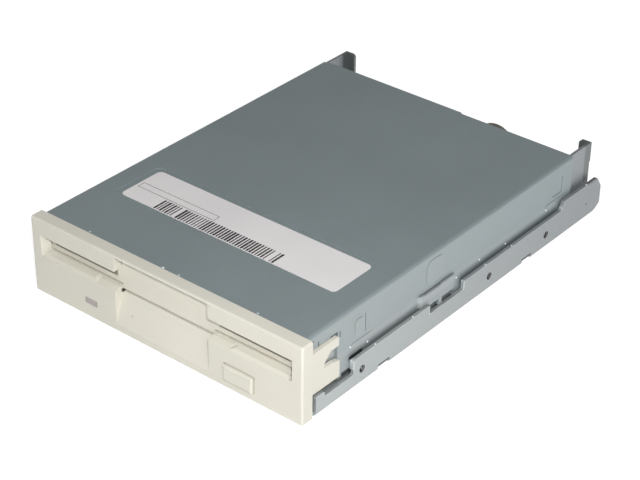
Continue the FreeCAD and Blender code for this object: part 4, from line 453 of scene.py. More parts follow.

# %% [markdown]
# ## Steel and plastic of this drive
# The cover is bluish, the frame greyer and the front cream. Then each gets its own places: painted shade
# where the cover meets the rails, painted light on the cover's sides, painted highlights on the cut edges
# where the rails' height steps, painted shade in the mouths of holes, slits and notches and towards the
# frame's rear, bare spots on the cover's front edge, and at the door a painted shadow under the lip and
# ends a little darker.

# %% Finishes of the cover and the frame
cover_side = 49.2
# Painted shade darkens the cover's sides just above the rails, where they meet.
painted_rail_shade = [((cover_side, middle, 9.8), (1.0, half, 0.3), (0.1, 1.5, 2.1), grey(0.6))
              for middle, half in ((38.5, 16.5), (97.5, 24.5))]   # just above the rails
# Painted light brightens the cover's sides, most towards the front and in a band low down.
painted_light_side = ((50.2, 22.0, 14.0), (0.9, 10.0, 12.0), (0.3, 80.0, 1.2), (1.14, 1.06, 1.04))
painted_light_low = ((cover_side, 70.0, 12.6), (1.0, 60.0, 0.5), (0.1, 10.0, 1.2), (1.12, 1.08, 1.08))
chipped = [((x, depth, 25.4), (0.3, 0.2, 0.3), (0.12, 0.12, 0.1), grey(2.4))
           for x, depth in ((-2.7, 4.6), (3.0, 4.7), (31.4, 4.8))]    # on the front edge
# Painted shadow darkens the gaps at the rails' front step and round the arm.
painted_gap_shadows = [((cover_side, depth, z), (0.6, half, tall), (0.1, 0.25, 0.2), grey(0.15))
             for depth, half, z, tall in (
                 (24.3, 2.8, 9.65, 0.6), (20.2, 1.9, 6.1, 0.6),     # at the rails' front step
                 (14.9, 1.4, 20.95, 0.25), (17.4, 0.05, 20.0, 0.9), (8.4, 0.05, 21.6, 0.7))]    # at the arm
sheet_metal("cover_steel", linear(149, 160, 162), 0.4, 0.45,
            places=painted_rail_shade + [painted_light_side, painted_light_low] + chipped + painted_gap_shadows)
side_hole_depths = (25.4, 85.4, 115.4)
# Painted shade darkens the frame towards the rear, where the light falls off.
painted_rear_falloff = ((0.0, 146.0, 0.0), (60.0, 5.0, 60.0), (1.0, 130.0, 1.0), (0.7, 0.7, 0.73))
# Painted shade darkens the rear ears.
painted_ear_shade = ((48.0, 144.0, 20.0), (8.0, 5.0, 7.5), (1.0, 1.0, 1.0), (0.62, 0.63, 0.6))
# Painted shade stands for a small dimple in the rail near the rear.
painted_dimple_shade = ((50.6, 138.0, 5.5), (0.4, 0.2, 0.3), (0.1, 0.15, 0.15), grey(0.2))
# Painted highlights brighten the rails' cut edges where their height steps.
painted_step_highlights = [((50.3, depth, z), (0.7, 0.16, 1.3), (0.1, 0.14, 0.3), grey(1.6))
             for depth, z in ((21.6, 8.0), (56.0, 8.2), (72.5, 8.2), (123.6, 11.2))]
# Painted shade darkens the walls of the rails' side holes, round their threads.
painted_hole_shade = [((49.55, depth, 5.0), (0.95, 1.5, 1.5), (0.12, 0.2, 0.2), grey(0.25))
              for depth in side_hole_depths]
# Painted shadow darkens the notches in the rails' bottom edges.
painted_notch_shadows = [((50.6, depth, 1.95), (0.4, 2.3, 0.25), (0.1, 0.3, 0.12), grey(0.2)) for depth in (35.1, 105.1)]
sheet_metal("zinc_steel", linear(174, 179, 179), 0.5, 0.42, edges=0.85, rub_gain=1.8,
            places=[painted_rear_falloff, painted_ear_shade, painted_dimple_shade] + painted_step_highlights + painted_hole_shade + painted_notch_shadows)
sheet_metal("slide_steel", linear(176, 177, 172), 0.55, 0.4)
sheet_metal("stepper_steel", linear(122, 118, 112), 0.5, 0.45, edges=0.7)
print("sheet finishes:", sorted(materials))

# %% Finishes of the plastic parts
# Painted shade darkens the corner by the finger recess.
painted_corner_shade = ((-17.4, 3.2, 12.5), (0.4, 0.5, 0.35), (0.2, 0.2, 0.2), grey(0.1))    # by the finger recess
slope_nick = ((-12.4, 1.25, 6.7), (0.12, 0.3, 0.15), (0.15, 0.2, 0.15), grey(0.5))
moulded("ivory_plastic", linear(208, 205, 193), 0.5, places=[painted_corner_shade, slope_nick])
# The door is a little darker towards its ends.
darker_door_ends = ((39.0, 3.0, 17.0), (13.5, 20.0, 10.0), (2.5, 1.0, 1.0), (0.93, 0.91, 0.9))
# Painted shadow darkens the door's top edge under the lip.
painted_lip_shadow = ((31.7, 3.0, 17.6), (12.3, 0.4, 0.85), (0.5, 0.1, 0.35), (0.3, 0.29, 0.25))   # under the lip
moulded("door_plastic", linear(210, 207, 194), 0.5, places=[darker_door_ends, painted_lip_shadow])
moulded("black_plastic", linear(44, 44, 45), 0.55)
moulded("carriage_plastic", linear(58, 58, 60), 0.6, grain=1500.0)
moulded("white_plastic", linear(232, 229, 218), 0.45)
moulded("chip_plastic", linear(48, 48, 50), 0.7, grain=3600.0)
print("finishes:", len(materials))

# %% [markdown]
# ## Turned and wound metals
# Screws, shafts and the rotor are turned or ground. Noise squeezed along one axis draws their fine
# marks. The motor's coils are copper wire in tidy layers: a wave that follows the distance from the
# spindle counts the turns.

# %% Bright steel, brass, pins and magnets
def ground_metal(name, colour, roughness, metallic=1.0, marks=900.0):
    """Turned or ground metal with fine marks and slight clouds."""
    cloud_scale = 140.0
    net, shader = blank(name)
    here = net.here()
    lines = net.noise(net.stretched(here, (marks * 0.3, marks * 0.3, marks * 4)), 1.0, 3.0, 0.6)
    cloud = net.noise(here, cloud_scale, 2.0)
    rough = net.between(lines, 0.3, 0.7, roughness - 0.07, roughness + 0.09)
    coat(net, shader, toned(net, cloud, colour, 0.9, 1.08), rough, metallic)
    bump(net, shader, lines, 0.00001, 0.3)


ground_metal("bright_steel", linear(205, 205, 203), 0.3)
# Near-white steel for the press pips: its brightness is a painted glint.
ground_metal("pip_glint_steel", linear(250, 250, 250), 0.35, 0.1)
ground_metal("spring_steel", linear(165, 165, 164), 0.33)
ground_metal("core_steel", linear(112, 112, 114), 0.5, 0.8, 1400.0)
ground_metal("brass", linear(205, 176, 122), 0.35)
ground_metal("gold_pin", linear(214, 188, 128), 0.28)
ground_metal("tin_pin", linear(208, 208, 206), 0.34)
ground_metal("magnet", linear(62, 62, 64), 0.6, 0.3)
print("finishes:", len(materials))

# %% Copper windings
spindle = place(0, 51, 0)
wire_pitch = 0.00034
net, shader = blank("copper_wire")
flat = net.vector("MULTIPLY", net.vector("SUBTRACT", net.here(), spindle), (1.0, 1.0, 0.0))
radius = net.vector("LENGTH", flat, out="Value")
turn = net.sum("SINE", net.times(radius, 2 * math.pi / wire_pitch))
lacquer = net.between(turn, -1.0, 1.0)
coat(net, shader, net.mix(lacquer, linear(120, 62, 30), linear(214, 132, 74)), roughness=0.34, metallic=0.75)
bump(net, shader, lacquer, 0.00008, 0.8)
print("copper turns every", wire_pitch * 1000, "mm")

# %% [markdown]
# ## Circuit boards
# A circuit board is glass cloth under a coloured lacquer, with copper tracks that show as lighter raised
# lines. They run side by side for a stretch and then turn a corner. So the board is cut into square
# fields, chance turns the tracks of each one way or the other, and round contacts stand between them.

# %% Lacquered boards
def circuit_board(name, lacquer, track, field):
    """A lacquered board with raised tracks and a slight weave, in square fields of a width in millimetres."""
    tracks, gap_scale, contact_scale, contact_share, weave_share = 6.0, 90.0, 420.0, 0.8, 0.15
    net, shader = blank(name)
    here = net.here()
    scaled = net.add("ShaderNodeVectorMath", {0: here, 3: 1000 / field}, operation="SCALE")
    square = net.vector("MULTIPLY", net.vector("FLOOR", scaled), (1.0, 1.0, 0.0))
    chance = net.add("ShaderNodeTexWhiteNoise", {"Vector": square}).outputs["Value"]
    spot = net.split(scaled)
    run = net.between(net.sum("GREATER_THAN", chance, 0.5), 0.0, 1.0, spot[0], spot[1])
    off_line = net.sum("SUBTRACT", net.sum("FRACT", net.times(run, tracks)), 0.5)
    line = net.between(net.sum("ABSOLUTE", off_line), 0.26, 0.2)
    sparse = net.between(net.noise(here, gap_scale, 1.0), 0.46, 0.5)
    contacts = net.add("ShaderNodeTexVoronoi", {"Vector": here, "Scale": contact_scale})
    pad = net.times(net.between(contacts.outputs["Distance"], 0.2, 0.16), contact_share)
    path = net.sum("MAXIMUM", net.times(line, sparse), pad, clamp=True)
    weave = net.noise(net.stretched(here, (2200.0, 2200.0, 200.0)), 1.0, 2.0)
    coat(net, shader, net.mix(path, toned(net, weave, lacquer, 0.9, 1.08), track), roughness=0.3)
    bump(net, shader, net.sum("ADD", path, net.times(weave, weave_share)), 0.00004, 0.6)


circuit_board("main_board", linear(26, 92, 52), linear(58, 132, 82), 6.0)
circuit_board("motor_board", linear(34, 84, 48), linear(66, 124, 78), 7.5)
print("board finishes:", [m for m in materials if m.endswith("board")])

# %% [markdown]
# ## Lens, ceramic and flat cable
# The lamp's lens is grey-mauve plastic that lets a little light in. The heads are polished ceramic. The
# flat cable is amber film over parallel copper strips, which a wave across its width shows.

# %% Lamp lens, ceramic and cable film
shader = moulded("lamp_plastic", linear(166, 158, 156), 0.32, grain=900.0, depth=0.00001, edges=0.0)
shader.inputs["Subsurface Weight"].default_value = 0.25
shader.inputs["Subsurface Radius"].default_value = (0.001, 0.0007, 0.0006)
moulded("ceramic", linear(222, 218, 206), 0.18, depth=0.000005, edges=0.1)

strip_pitch = 0.00062
net, shader = blank("cable_film")
wave = net.sum("SINE", net.times(net.split(net.here())[0], 2 * math.pi / strip_pitch))
strip = net.between(wave, -0.2, 0.2)
coat(net, shader, net.mix(strip, linear(150, 84, 30), linear(196, 128, 62)), roughness=0.3)
bump(net, shader, strip, 0.00003)
print("finishes:", sorted(materials))

# %% [markdown]
# ## Dressing the solids
# The record says which finish each solid takes. The solids keep their shape and place; only the material
# in their slot changes. Smooth shading would need shared corners, which these loose triangles lack, so
# they stay flat and the small fillets do the smoothing.

# %% Give each solid its finish
finish_of = {part["node"]: part["material_slot"] for part in frame["record"]["subparts"]}
for name, solid in frame["nodes"].items():
    solid.data.materials.clear()
    solid.data.materials.append(materials[finish_of[name]])
print("dressed:", len(finish_of))

# %% [markdown]
# ## Pieces made here
# New pieces are plain meshes whose place is in their points. Geometry Nodes make whatever repeats: the
# tree is built once, run on a small carrier object, and its result is kept as a mesh. Each tree ends the
# same way: its copies become real and get their material.

# %% Helpers for new pieces
def piece(name, mesh, body):
    """A finished mesh as a piece of the drive that rides on one of its bodies."""
    made = shown(name, mesh)
    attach(made, body)
    return made


def finish_tree(net, take, copies, material, smooth=True):
    """Ends a Geometry Nodes tree: real copies, shaded smooth if wanted, in a material."""
    shape = net.add("GeometryNodeRealizeInstances", {0: copies})
    if smooth:
        shape = net.add("GeometryNodeSetShadeSmooth", {0: shape})
    coated = net.add("GeometryNodeSetMaterial", {"Geometry": shape, "Material": material})
    net.feed(take[0], coated)


def plain_mesh(carrier):
    """The mesh that an object's modifier or curve makes. The object itself goes."""
    graph = bpy.context.evaluated_depsgraph_get()
    mesh = bpy.data.meshes.new_from_object(carrier.evaluated_get(graph), depsgraph=graph)
    carrier.modifiers.clear()
    bpy.data.objects.remove(carrier)
    return mesh


def grown(tree, values, seeds=()):
    """Runs a tree on a carrier whose points are the seeds, and returns the plain mesh it makes."""
    carrier_mesh = bpy.data.meshes.new(tree.name)
    carrier_mesh.from_pydata([tuple(p) for p in seeds], [], [])
    carrier = shown(tree.name, carrier_mesh)
    modifier = carrier.modifiers.new("grow", "NODES")
    modifier.node_group = tree
    for item in tree.interface.items_tree:
        if item.in_out == "INPUT" and item.name in values:
            modifier[item.identifier] = values[item.name]
    return plain_mesh(carrier)


def as_mesh(work, name, material):
    """What was built with bmesh, as a mesh in one material."""
    mesh = bpy.data.meshes.new(name)
    work.to_mesh(mesh)
    work.free()
    mesh.materials.append(materials[material])
    return mesh


print("helpers for pieces ready")

# %% [markdown]
# ## The label
# A paper label lies near the front of the cover, with a block of bars along its front edge. They mean
# nothing: a tree sets them along a line, gives each a width from a fixed seed and drops a few. A fine
# ruled box stands above them.

# %% Label paper and ink
net, shader = blank("label_paper")
here = net.here()
fibre = net.noise(here, 3000.0, 4.0, 0.7)
fade = net.between(net.noise(here, 30.0, 2.0), 0.3, 0.7)
paper_tone = net.mix(fade, linear(216, 213, 213), linear(228, 225, 224))
speckled = net.mix(net.between(fibre, 0.3, 0.7, 0.0, 0.2), paper_tone, linear(198, 196, 196))
coat(net, shader, speckled, roughness=0.38)
bump(net, shader, fibre, 0.00001, 0.3)
net, shader = blank("label_ink")
thin = net.between(net.noise(net.here(), 1800.0, 2.0), 0.35, 0.65)
coat(net, shader, net.mix(thin, linear(40, 38, 38), linear(74, 70, 70)), roughness=0.45)
print("paper and ink ready")

# %% The label's sheet
label_left, label_right = -40.0, 40.5
label_front, label_back = 25.6, 42.6
label_low, label_top, corner, corner_steps = 25.18, 25.26, 1.6, 8
rim = []
x0, x1, y0, y1 = label_left + corner, label_right - corner, label_front + corner, label_back - corner
for x, y, start in ((x1, y1, 0), (x0, y1, 90), (x0, y0, 180), (x1, y0, 270)):
    for i in range(corner_steps + 1):
        angle = math.radians(start + 90 * i / corner_steps)
        rim.append((x + corner * math.cos(angle), y + corner * math.sin(angle)))
count = len(rim)
faces = [tuple(reversed(range(count))), tuple(range(count, 2 * count))]
faces += [(i, (i + 1) % count, count + (i + 1) % count, count + i) for i in range(count)]
sheet = bpy.data.meshes.new("label")
sheet.from_pydata([tuple(place(x, y, z)) for z in (label_low, label_top) for x, y in rim], [], faces)
sheet.materials.append(materials["label_paper"])
piece("label", sheet, "chassis")
print("label:", label_right - label_left, "by", label_back - label_front, "mm")

# %% Bars on the label
net, give, take = geometry_tree("label_bars", {
    "Count": 60, "Start": (0.0, 0.0, 0.0), "Step": (0.0008, 0.0, 0.0), "Bar Length": 0.0055,
    "Least Width": 0.0002, "Most Width": 0.0006, "Thickness": 0.00001, "Kept": 0.9, "Seed": 4, "Ink": None})
line = net.add("GeometryNodeMeshLine", {"Count": give["Count"], "Start Location": give["Start"],
                                        "Offset": give["Step"]}, mode="OFFSET")
keep = net.add("FunctionNodeRandomValue", {"Probability": give["Kept"], "Seed": give["Seed"]},
               data_type="BOOLEAN")
width = net.add("FunctionNodeRandomValue", {2: give["Least Width"], 3: give["Most Width"],
                                            "Seed": give["Seed"]}, data_type="FLOAT")
size = net.combine(width.outputs[1], give["Bar Length"], give["Thickness"])
bar = net.add("GeometryNodeMeshCube", {"Size": (1.0, 1.0, 1.0)})
stand = net.add("GeometryNodeInstanceOnPoints", {"Points": line, "Selection": keep.outputs[3],
                                                 "Instance": bar, "Scale": size})
finish_tree(net, take, stand, give["Ink"], smooth=False)

bar_left, bar_right = -26.8, 19.2
bar_front, bar_back = 25.9, 31.3
bar_step = 1.04
ink_height, ink_thickness = label_top + 0.005, 0.00001
bars = grown(net.tree, {
    "Start": place(bar_left, (bar_front + bar_back) / 2, ink_height), "Step": Vector((bar_step / 1000, 0, 0)),
    "Count": int((bar_right - bar_left) / bar_step), "Bar Length": (bar_back - bar_front) / 1000,
    "Least Width": 0.00034, "Most Width": 0.00084, "Kept": 0.94, "Ink": materials["label_ink"]})
piece("label_bars", bars, "chassis")
print("bars:", len(bars.polygons) // 6)

# %% Ruled box on the label
x0, x1, y0, y1, rule = -39.0, -9.0, 31.9, 34.6, 0.16
work = bmesh.new()
for a0, a1, b0, b1 in ((x0, x1, y0, y0 + rule), (x0, x1, y1 - rule, y1), (x0, x0 + rule, y0 + rule, y1 - rule),
                       (x1 - rule, x1, y0 + rule, y1 - rule)):
    centre = place((a0 + a1) / 2, (b0 + b1) / 2, ink_height)
    scale = Matrix.Diagonal(((a1 - a0) / 1000, (b1 - b0) / 1000, ink_thickness, 1))
    bmesh.ops.create_cube(work, size=1, matrix=Matrix.Translation(centre) @ scale)
piece("label_ruled_box", as_mesh(work, "label_ruled_box", "label_ink"), "chassis")
print("ruled box:", x1 - x0, "by", round(y1 - y0, 1), "mm")

# %% [markdown]
# ## Springs
# The springs' solids are plain tubes that only take up room. Here each becomes wound wire: a spiral curve
# given a round section. One tree serves all of them, and a matrix lays the result along the right axis.

# %% One tree for every wound spring
net, give, take = geometry_tree("wound_spring", {
    "Turns": 10.0, "Radius": 0.001, "Length": 0.01, "Wire": 0.0002, "Steel": None})
spiral = net.add("GeometryNodeCurveSpiral", {
    "Resolution": 14, "Rotations": give["Turns"], "Height": give["Length"],
    "Start Radius": give["Radius"], "End Radius": give["Radius"]})
section = net.add("GeometryNodeCurvePrimitiveCircle", {"Resolution": 8, "Radius": give["Wire"]},
                  mode="RADIUS")
tube = net.add("GeometryNodeCurveToMesh", {"Curve": spiral, "Profile Curve": section,
                                           "Fill Caps": True})
finish_tree(net, take, tube, give["Steel"])
spring_tree = net.tree
print("spring tree:", spring_tree.name)

# %% Wires and the pieces made of them
def wound(start, axis, turns, radius, length, wire):
    """A wound wire from a start point along an axis, as a mesh. Sizes are in millimetres."""
    mesh = grown(spring_tree, {"Turns": float(turns), "Radius": radius / 1000, "Length": length / 1000,
                               "Wire": wire / 1000, "Steel": materials["spring_steel"]})
    turn = Vector((0, 0, 1)).rotation_difference(Vector(axis)).to_matrix().to_4x4()
    mesh.transform(Matrix.Translation(start) @ turn)
    return mesh


def bent_wire(points, wire):
    """A round wire along some points, as a mesh."""
    curve = bpy.data.curves.new("bent_wire", "CURVE")
    curve.dimensions = "3D"
    curve.bevel_depth = wire / 1000
    curve.bevel_resolution = 2
    curve.use_fill_caps = True
    run = curve.splines.new("POLY")
    run.points.add(len(points) - 1)
    for spot, point in zip(run.points, points):
        spot.co = (*point, 1)
    return plain_mesh(shown("bent_wire", curve))


def wire_mesh(name, wires, material):
    """Several wires as one smooth mesh in one material."""
    work = bmesh.new()
    for wire in wires:
        work.from_mesh(wire)
    whole = as_mesh(work, name, material)
    for face in whole.polygons:
        face.material_index = 0
        face.use_smooth = True
    return whole


def spring(name, wires, body, replaced):
    """Several wires as one piece that stands for a spring's solid."""
    made = piece(name, wire_mesh(name, wires, "spring_steel"), body)
    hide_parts(replaced)
    return made


print("wires can be wound or bent")

# %% Eject springs with their hooks
spring_x, spring_z = 38.2, 8.6
post_depth, tab_depth = 54.0, 76.0
coil_start, coil_end = 55.8, 75.1
hook_radius, hook_steps, eject_wire = 1.05, 12, 0.2
parts = []
for side in (-1, 1):
    x = side * spring_x
    parts.append(wound(place(x, coil_start, spring_z), (0, 1, 0), turns=34, radius=1.28,
                       length=coil_end - coil_start, wire=eject_wire))
    hook = []
    for i in range(hook_steps + 1):
        angle = math.radians(-60 + 300 * i / hook_steps)
        across, back = hook_radius * math.sin(angle), hook_radius * math.cos(angle)
        hook.append(place(x + across, post_depth - back, spring_z))
    hook.append(place(x + side * 0.2, coil_start - 0.1, spring_z))
    parts.append(bent_wire(hook, eject_wire))
    tail = [place(x + 0.9, coil_end - 0.1, spring_z), place(x + 0.3, coil_end + 0.4, spring_z),
            place(x, tab_depth + 0.2, spring_z), place(x, tab_depth + 0.7, spring_z - 0.2)]
    parts.append(bent_wire(tail, eject_wire))
springs = spring("eject_spring_wire", parts, "chassis", "eject_springs")
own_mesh(springs)
print("eject springs:", len(springs.data.polygons), "faces")

# %% Door, latch, shutter and arm springs
door_wire, latch_wire, shutter_wire, arm_wire = 0.13, 0.16, 0.13, 0.14
coil = wound(place(-44.4, 4.9, 22.2), (1, 0, 0), turns=8, radius=0.9, length=2.6, wire=door_wire)
leg = bent_wire([place(-44.2, 4.9, 23.1), place(-44.2, 6.4, 23.1), place(-44.2, 8.0, 22.9)], door_wire)
spring("door_spring_wire", [coil, leg], "chassis", "door_spring")
coil = wound(place(-43.5, 114, 9.15), (0, 0, 1), turns=6, radius=1.9, length=2.0, wire=latch_wire)
leg = bent_wire([place(-43.5, 115.9, 9.3), place(-43.5, 118.0, 9.3), place(-43.6, 120.0, 9.2)], latch_wire)
spring("latch_spring_wire", [coil, leg], "chassis", "latch_spring")
low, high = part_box("shutter_spring")
middle = (low + high) / 2 * 1000
start = place(middle.x, middle.y - bezel_face, low.z * 1000 + shutter_wire)
coil = wound(start, (0, 0, 1), turns=4, radius=1.35, length=0.95, wire=shutter_wire)
spring("shutter_spring_wire", [coil], "carrier", "shutter_spring")
coil = wound(place(-1.1, 113.0, 20.4), (1, 0, 0), turns=8, radius=1.25, length=2.2, wire=arm_wire)
spring("arm_spring_wire", [coil], "carriage", "arm_spring")

# %% [markdown]
# ## Threads in the mounting holes
# The rails' holes are tapped, and from the side their threads show as fine rings. A thread is only a
# shallow spiral ridge on the hole's wall, so the spring tree makes it too, with fewer and closer turns.

# %% Thread ridges
thread_ridge, thread_pitch, ridge_radius = 0.08, 0.5, 1.18
side_start, side_height, side_length = 49.4, 5.0, 1.3
base_x, base_start, base_length, base_hole_depths = 47.625, 0.1, 2.0, (44.0, 114.0)


def thread(start, axis, length):
    """The ridge in one tapped hole, as a mesh."""
    return wound(start, axis, length / thread_pitch, ridge_radius, length, thread_ridge)


threads = []
for sign in (-1, 1):
    threads += [thread(place(sign * side_start, depth, side_height), (sign, 0, 0), side_length)
                for depth in side_hole_depths]
    threads += [thread(place(sign * base_x, depth, base_start), (0, 0, 1), base_length)
                for depth in base_hole_depths]
piece("hole_threads", wire_mesh("hole_threads", threads, "bright_steel"), "chassis")
print("threaded holes:", len(threads))

# %% [markdown]
# ## Pips left by the press
# Along the rails' top edges and on the cover above them, the press has pinched the sheet into tiny
# pips. One tree stands a small ball on each of a list of points, half sunk in the sheet. The balls'
# near-white steel is a painted glint.

# %% Pips on the rails and the cover
net, give, take = geometry_tree("press_pips", {"Radius": 0.0003, "Steel": None})
ball = net.add("GeometryNodeMeshIcoSphere", {"Radius": give["Radius"], "Subdivisions": 2})
stand = net.add("GeometryNodeInstanceOnPoints", {"Points": give[0], "Instance": ball})
finish_tree(net, take, stand, give["Steel"])
pip_radius = 0.26
rail_edge, rail_top, rear_rail_top = 50.5, 9.75, 12.55
pip_spots = [(rail_edge, depth, rail_top) for depth in (31.3, 48.4, 83.4, 96.9)]
pip_spots += [(rail_edge, 137.4, rear_rail_top)]
pip_spots += [(cover_side, depth, z) for depth, z in ((21.9, 13.3), (29.4, 11.1), (70.5, 11.3), (82.0, 11.7),
                                                      (95.3, 10.8), (116.8, 12.4))]
pips = grown(net.tree, {"Radius": pip_radius / 1000, "Steel": materials["pip_glint_steel"]},
             [place(sign * x, depth, z) for sign in (-1, 1) for x, depth, z in pip_spots])
piece("press_pips", pips, "chassis")
print("pips:", 2 * len(pip_spots))

# %% [markdown]
# ## Ramps on the slot's lip
# Left and right of the finger recess the slot's lower lip stands a touch higher, so that a disk slides in
# level. Each side gets a low ramp with a slanted end that catches the light. It stops just in front of
# the door and below the disk.

# %% Lip ramps
def join_rings(work, first, second):
    """Faces between two rings of four points."""
    for i in range(4):
        work.faces.new((first[i], first[(i + 1) % 4], second[(i + 1) % 4], second[i]))


lip_section = ((0.2, 13.26), (2.95, 14.19), (2.95, 14.34), (0.9, 13.95))    # depths and heights
inner_end, slant = 25.0, 1.3
outer_end, flare, ramp_back = 44.9, 0.4, 2.95    # the slot's wall flares forwards
inner = [inner_end + shift for shift in (0.0, 0.0, slant, slant)]
outer = [outer_end + flare * (ramp_back - depth) for depth, z in lip_section]
work = bmesh.new()
for sign in (-1, 1):
    first, last = [[work.verts.new(place(sign * x, depth, z)) for x, (depth, z) in zip(ends, lip_section)]
                   for ends in (inner, outer)]
    join_rings(work, first, last)
    work.faces.new(first)
    work.faces.new(reversed(last))
bmesh.ops.recalc_face_normals(work, faces=work.faces)
ramps = as_mesh(work, "lip_ramps", "ivory_plastic")
piece("lip_ramps", ramps, "chassis")
print("ramps:", len(ramps.polygons), "faces")

# %% [markdown]
# ## Flat cable
# The heads' flat cable leaves a socket on the main board and turns over in one loop to the carriage. It
# is a strip of film swept along a U that stays where it is, though in the drive its upper run travels
# with the heads while its lower run stays.

# %% A strip of film along a U
film_width, film_thickness, film_gap, bend_steps = 7.9, 0.18, 0.15, 12
low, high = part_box("head_cable")
low_y, high_y = low.y * 1000 - bezel_face, high.y * 1000 - bezel_face
low_z, high_z = low.z * 1000 + film_gap, high.z * 1000 - film_gap
bend = (high_z - low_z) / 2
line = [(low_y, low_z), (low_y + 4, low_z), (high_y - bend - 0.2, low_z)]    # depths and heights
for i in range(1, bend_steps):
    angle = math.radians(-90 + 180 * i / bend_steps)
    line.append((high_y - bend - film_gap + bend * math.cos(angle), low_z + bend + bend * math.sin(angle)))
line += [(high_y - bend - 0.2, high_z), (low_y + 4.2, high_z)]

work = bmesh.new()
rings = []
for i, (y, z) in enumerate(line):
    before, after = line[max(i - 1, 0)], line[min(i + 1, len(line) - 1)]
    along = Vector((after[0] - before[0], after[1] - before[1])).normalized()
    out = Vector((-along.y, along.x)) * film_thickness / 2
    left, right = -film_width / 2, film_width / 2
    corners = ((left, y + out.x, z + out.y), (right, y + out.x, z + out.y),
               (right, y - out.x, z - out.y), (left, y - out.x, z - out.y))
    rings.append([work.verts.new(place(*p)) for p in corners])
for first, second in zip(rings, rings[1:]):
    join_rings(work, first, second)
work.faces.new(reversed(rings[0]))
work.faces.new(rings[-1])
bmesh.ops.recalc_face_normals(work, faces=work.faces)
film = shown("head_flat_cable", as_mesh(work, "head_flat_cable", "cable_film"))
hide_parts("head_cable")
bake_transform(film)
print("flat cable:", round(high_y - low_y, 1), "mm long")

# %% [markdown]
# ## Small parts on the boards
# A board carries dozens of tiny resistors and capacitors. Points that keep clear of the big parts are
# chosen with a fixed seed, and a tree stands one of two small parts on each, turned by quarter turns.
# The pins' solder is the same trick with a little cone.

# %% Places for the small parts
def free_spots(count, x_range, y_range, z, taken, gap, seed):
    """Random places on a half-millimetre grid that keep away from what is there already."""
    most_tries = 4000
    dice = random.Random(seed)
    spots = []
    for _ in range(most_tries):
        x, y = [round(dice.uniform(*span) * 2) / 2 for span in (x_range, y_range)]
        clear = all(not (x0 - gap < x < x1 + gap and y0 - gap < y < y1 + gap) for x0, x1, y0, y1 in taken)
        if clear and all(abs(x - a) > gap + 0.4 or abs(y - b) > gap for a, b in spots):
            spots.append((x, y))
        if len(spots) == count:
            break
    return [place(x, y, z) for x, y in spots]


# What is there already, as x from and to, depth from and to.
main_taken = [(-15.0, -1.0, 103.0, 117.0), (14.0, 26.0, 103.5, 112.5), (-35.0, -25.0, 108.0, 116.0),
              (-13.0, 13.0, 92.0, 98.0), (-24.0, 20.0, 127.5, 134.5), (28.5, 40.0, 130.0, 134.5)]
main_taken += [(x - 2.2, x + 2.2, y - 2.2, y + 2.2) for x in (-38, 38) for y in (98, 123)]
motor_taken = [(-20.5, 20.5, 30.0, 70.0), (-26.0, -20.0, 45.0, 64.0), (21.0, 26.0, 57.0, 63.0),
               (-39.0, -33.0, 30.0, 70.0), (33.0, 39.0, 30.0, 70.0), (26.0, 40.0, 56.0, 70.0),
               (-40.0, -26.0, 56.0, 70.0)]
board_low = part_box("main_board")[0].z * 1000
motor_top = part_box("motor_board")[1].z * 1000
main_spots = free_spots(95, (-41.5, 41.5), (94.5, 142.0), board_low, main_taken, gap=1.5, seed=11)
motor_spots = free_spots(26, (-33.0, 33.0), (34.0, 62.0), motor_top, motor_taken, gap=1.3, seed=5)
print("small parts:", len(main_spots), "and", len(motor_spots))

# %% Stand small parts on the boards
net, give, take = geometry_tree("board_parts", {
    "Length": 0.0016, "Width": 0.0008, "Height": 0.0005, "Way Up": 1.0, "Seed": 3, "Body": None,
    "Other Body": None, "Ends": None})


def block(size_x, size_y, size_z, x, material):
    """A small box of the tree, moved along its length, in a material."""
    cube = net.add("GeometryNodeMeshCube", {"Size": net.combine(size_x, size_y, size_z)})
    lift = net.times(net.times(size_z, 0.5), give["Way Up"])
    moved = net.add("GeometryNodeTransform", {0: cube, "Translation": net.combine(x, z=lift)})
    return net.add("GeometryNodeSetMaterial", {"Geometry": moved, "Material": material})


def gathered(shapes):
    """Several shapes of the tree as one."""
    join = net.add("GeometryNodeJoinGeometry")
    for shape in shapes:
        net.feed(join.inputs[0], shape)
    return join


def one_or_none(seed):
    """Chance gives each point a 0 or a 1."""
    return net.add("FunctionNodeRandomValue", {4: 0, 5: 1, "Seed": seed}, data_type="INT").outputs[2]


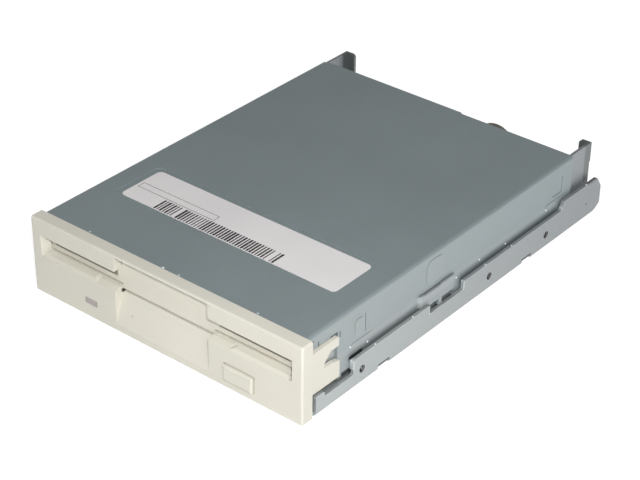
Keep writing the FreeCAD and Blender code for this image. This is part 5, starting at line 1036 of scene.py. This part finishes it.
core_share, end_share, end_shift = 0.66, 0.2, 0.42    # of a part's length
end_wider, end_taller = 1.04, 1.05    # than its core
end_length = net.times(give["Length"], end_share)
end_place = net.times(give["Length"], end_shift)
end_width = net.times(give["Width"], end_wider)
core_length = net.times(give["Length"], core_share)
bodies = []
for body_material, taller in ((give["Body"], 0.9), (give["Other Body"], 1.3)):
    height = net.times(give["Height"], taller)
    end_height = net.times(height, end_taller)
    shapes = [block(core_length, give["Width"], height, 0.0, body_material)]
    shapes += [block(end_length, end_width, end_height, net.times(end_place, sign), give["Ends"])
               for sign in (-1.0, 1.0)]
    bodies.append(net.add("GeometryNodeGeometryToInstance", {0: gathered(shapes)}))
quarter = one_or_none(net.sum("ADD", give["Seed"], 1.0))
stand = net.add("GeometryNodeInstanceOnPoints", {
    "Points": give[0], "Instance": gathered(bodies), "Pick Instance": True,
    "Instance Index": one_or_none(give["Seed"]),
    "Rotation": net.combine(z=net.times(quarter, math.pi / 2))})
net.feed(take[0], net.add("GeometryNodeRealizeInstances", {0: stand}))
stock = {"Body": materials["black_plastic"], "Other Body": materials["brass"], "Ends": materials["tin_pin"]}
under = grown(net.tree, {**stock, "Way Up": -1.0, "Seed": 3}, main_spots)
piece("main_board_parts", under, "chassis")
above = grown(net.tree, {**stock, "Way Up": 1.0, "Seed": 8}, motor_spots)
piece("motor_board_parts", above, "chassis")
print("faces:", len(under.polygons), "and", len(above.polygons))

# %% Solder on the pins' tails
net, give, take = geometry_tree("solder_joints", {"Radius": 0.0007, "Height": 0.0006, "Solder": None})
cone = net.add("GeometryNodeMeshCone", {
    "Vertices": 10, "Radius Top": net.times(give["Radius"], 0.5),
    "Radius Bottom": give["Radius"], "Depth": give["Height"]})
stand = net.add("GeometryNodeInstanceOnPoints", {"Points": give[0], "Instance": cone,
                                                 "Rotation": (math.pi, 0.0, 0.0)})
finish_tree(net, take, stand, give["Solder"])
signal_pitch, power_pitch, front_row = 2.54, 2.5, 132.3
tails = [place(-18.8 + (column - 8) * signal_pitch, front_row - row * signal_pitch, board_low)
         for row in (0, 1) for column in range(17)]
tails += [place(34.4 + (column - 1.5) * power_pitch, front_row, board_low) for column in range(4)]
solder = grown(net.tree, {"Solder": materials["tin_pin"]}, tails)
piece("pin_solder", solder, "chassis")
print("solder joints:", len(tails))
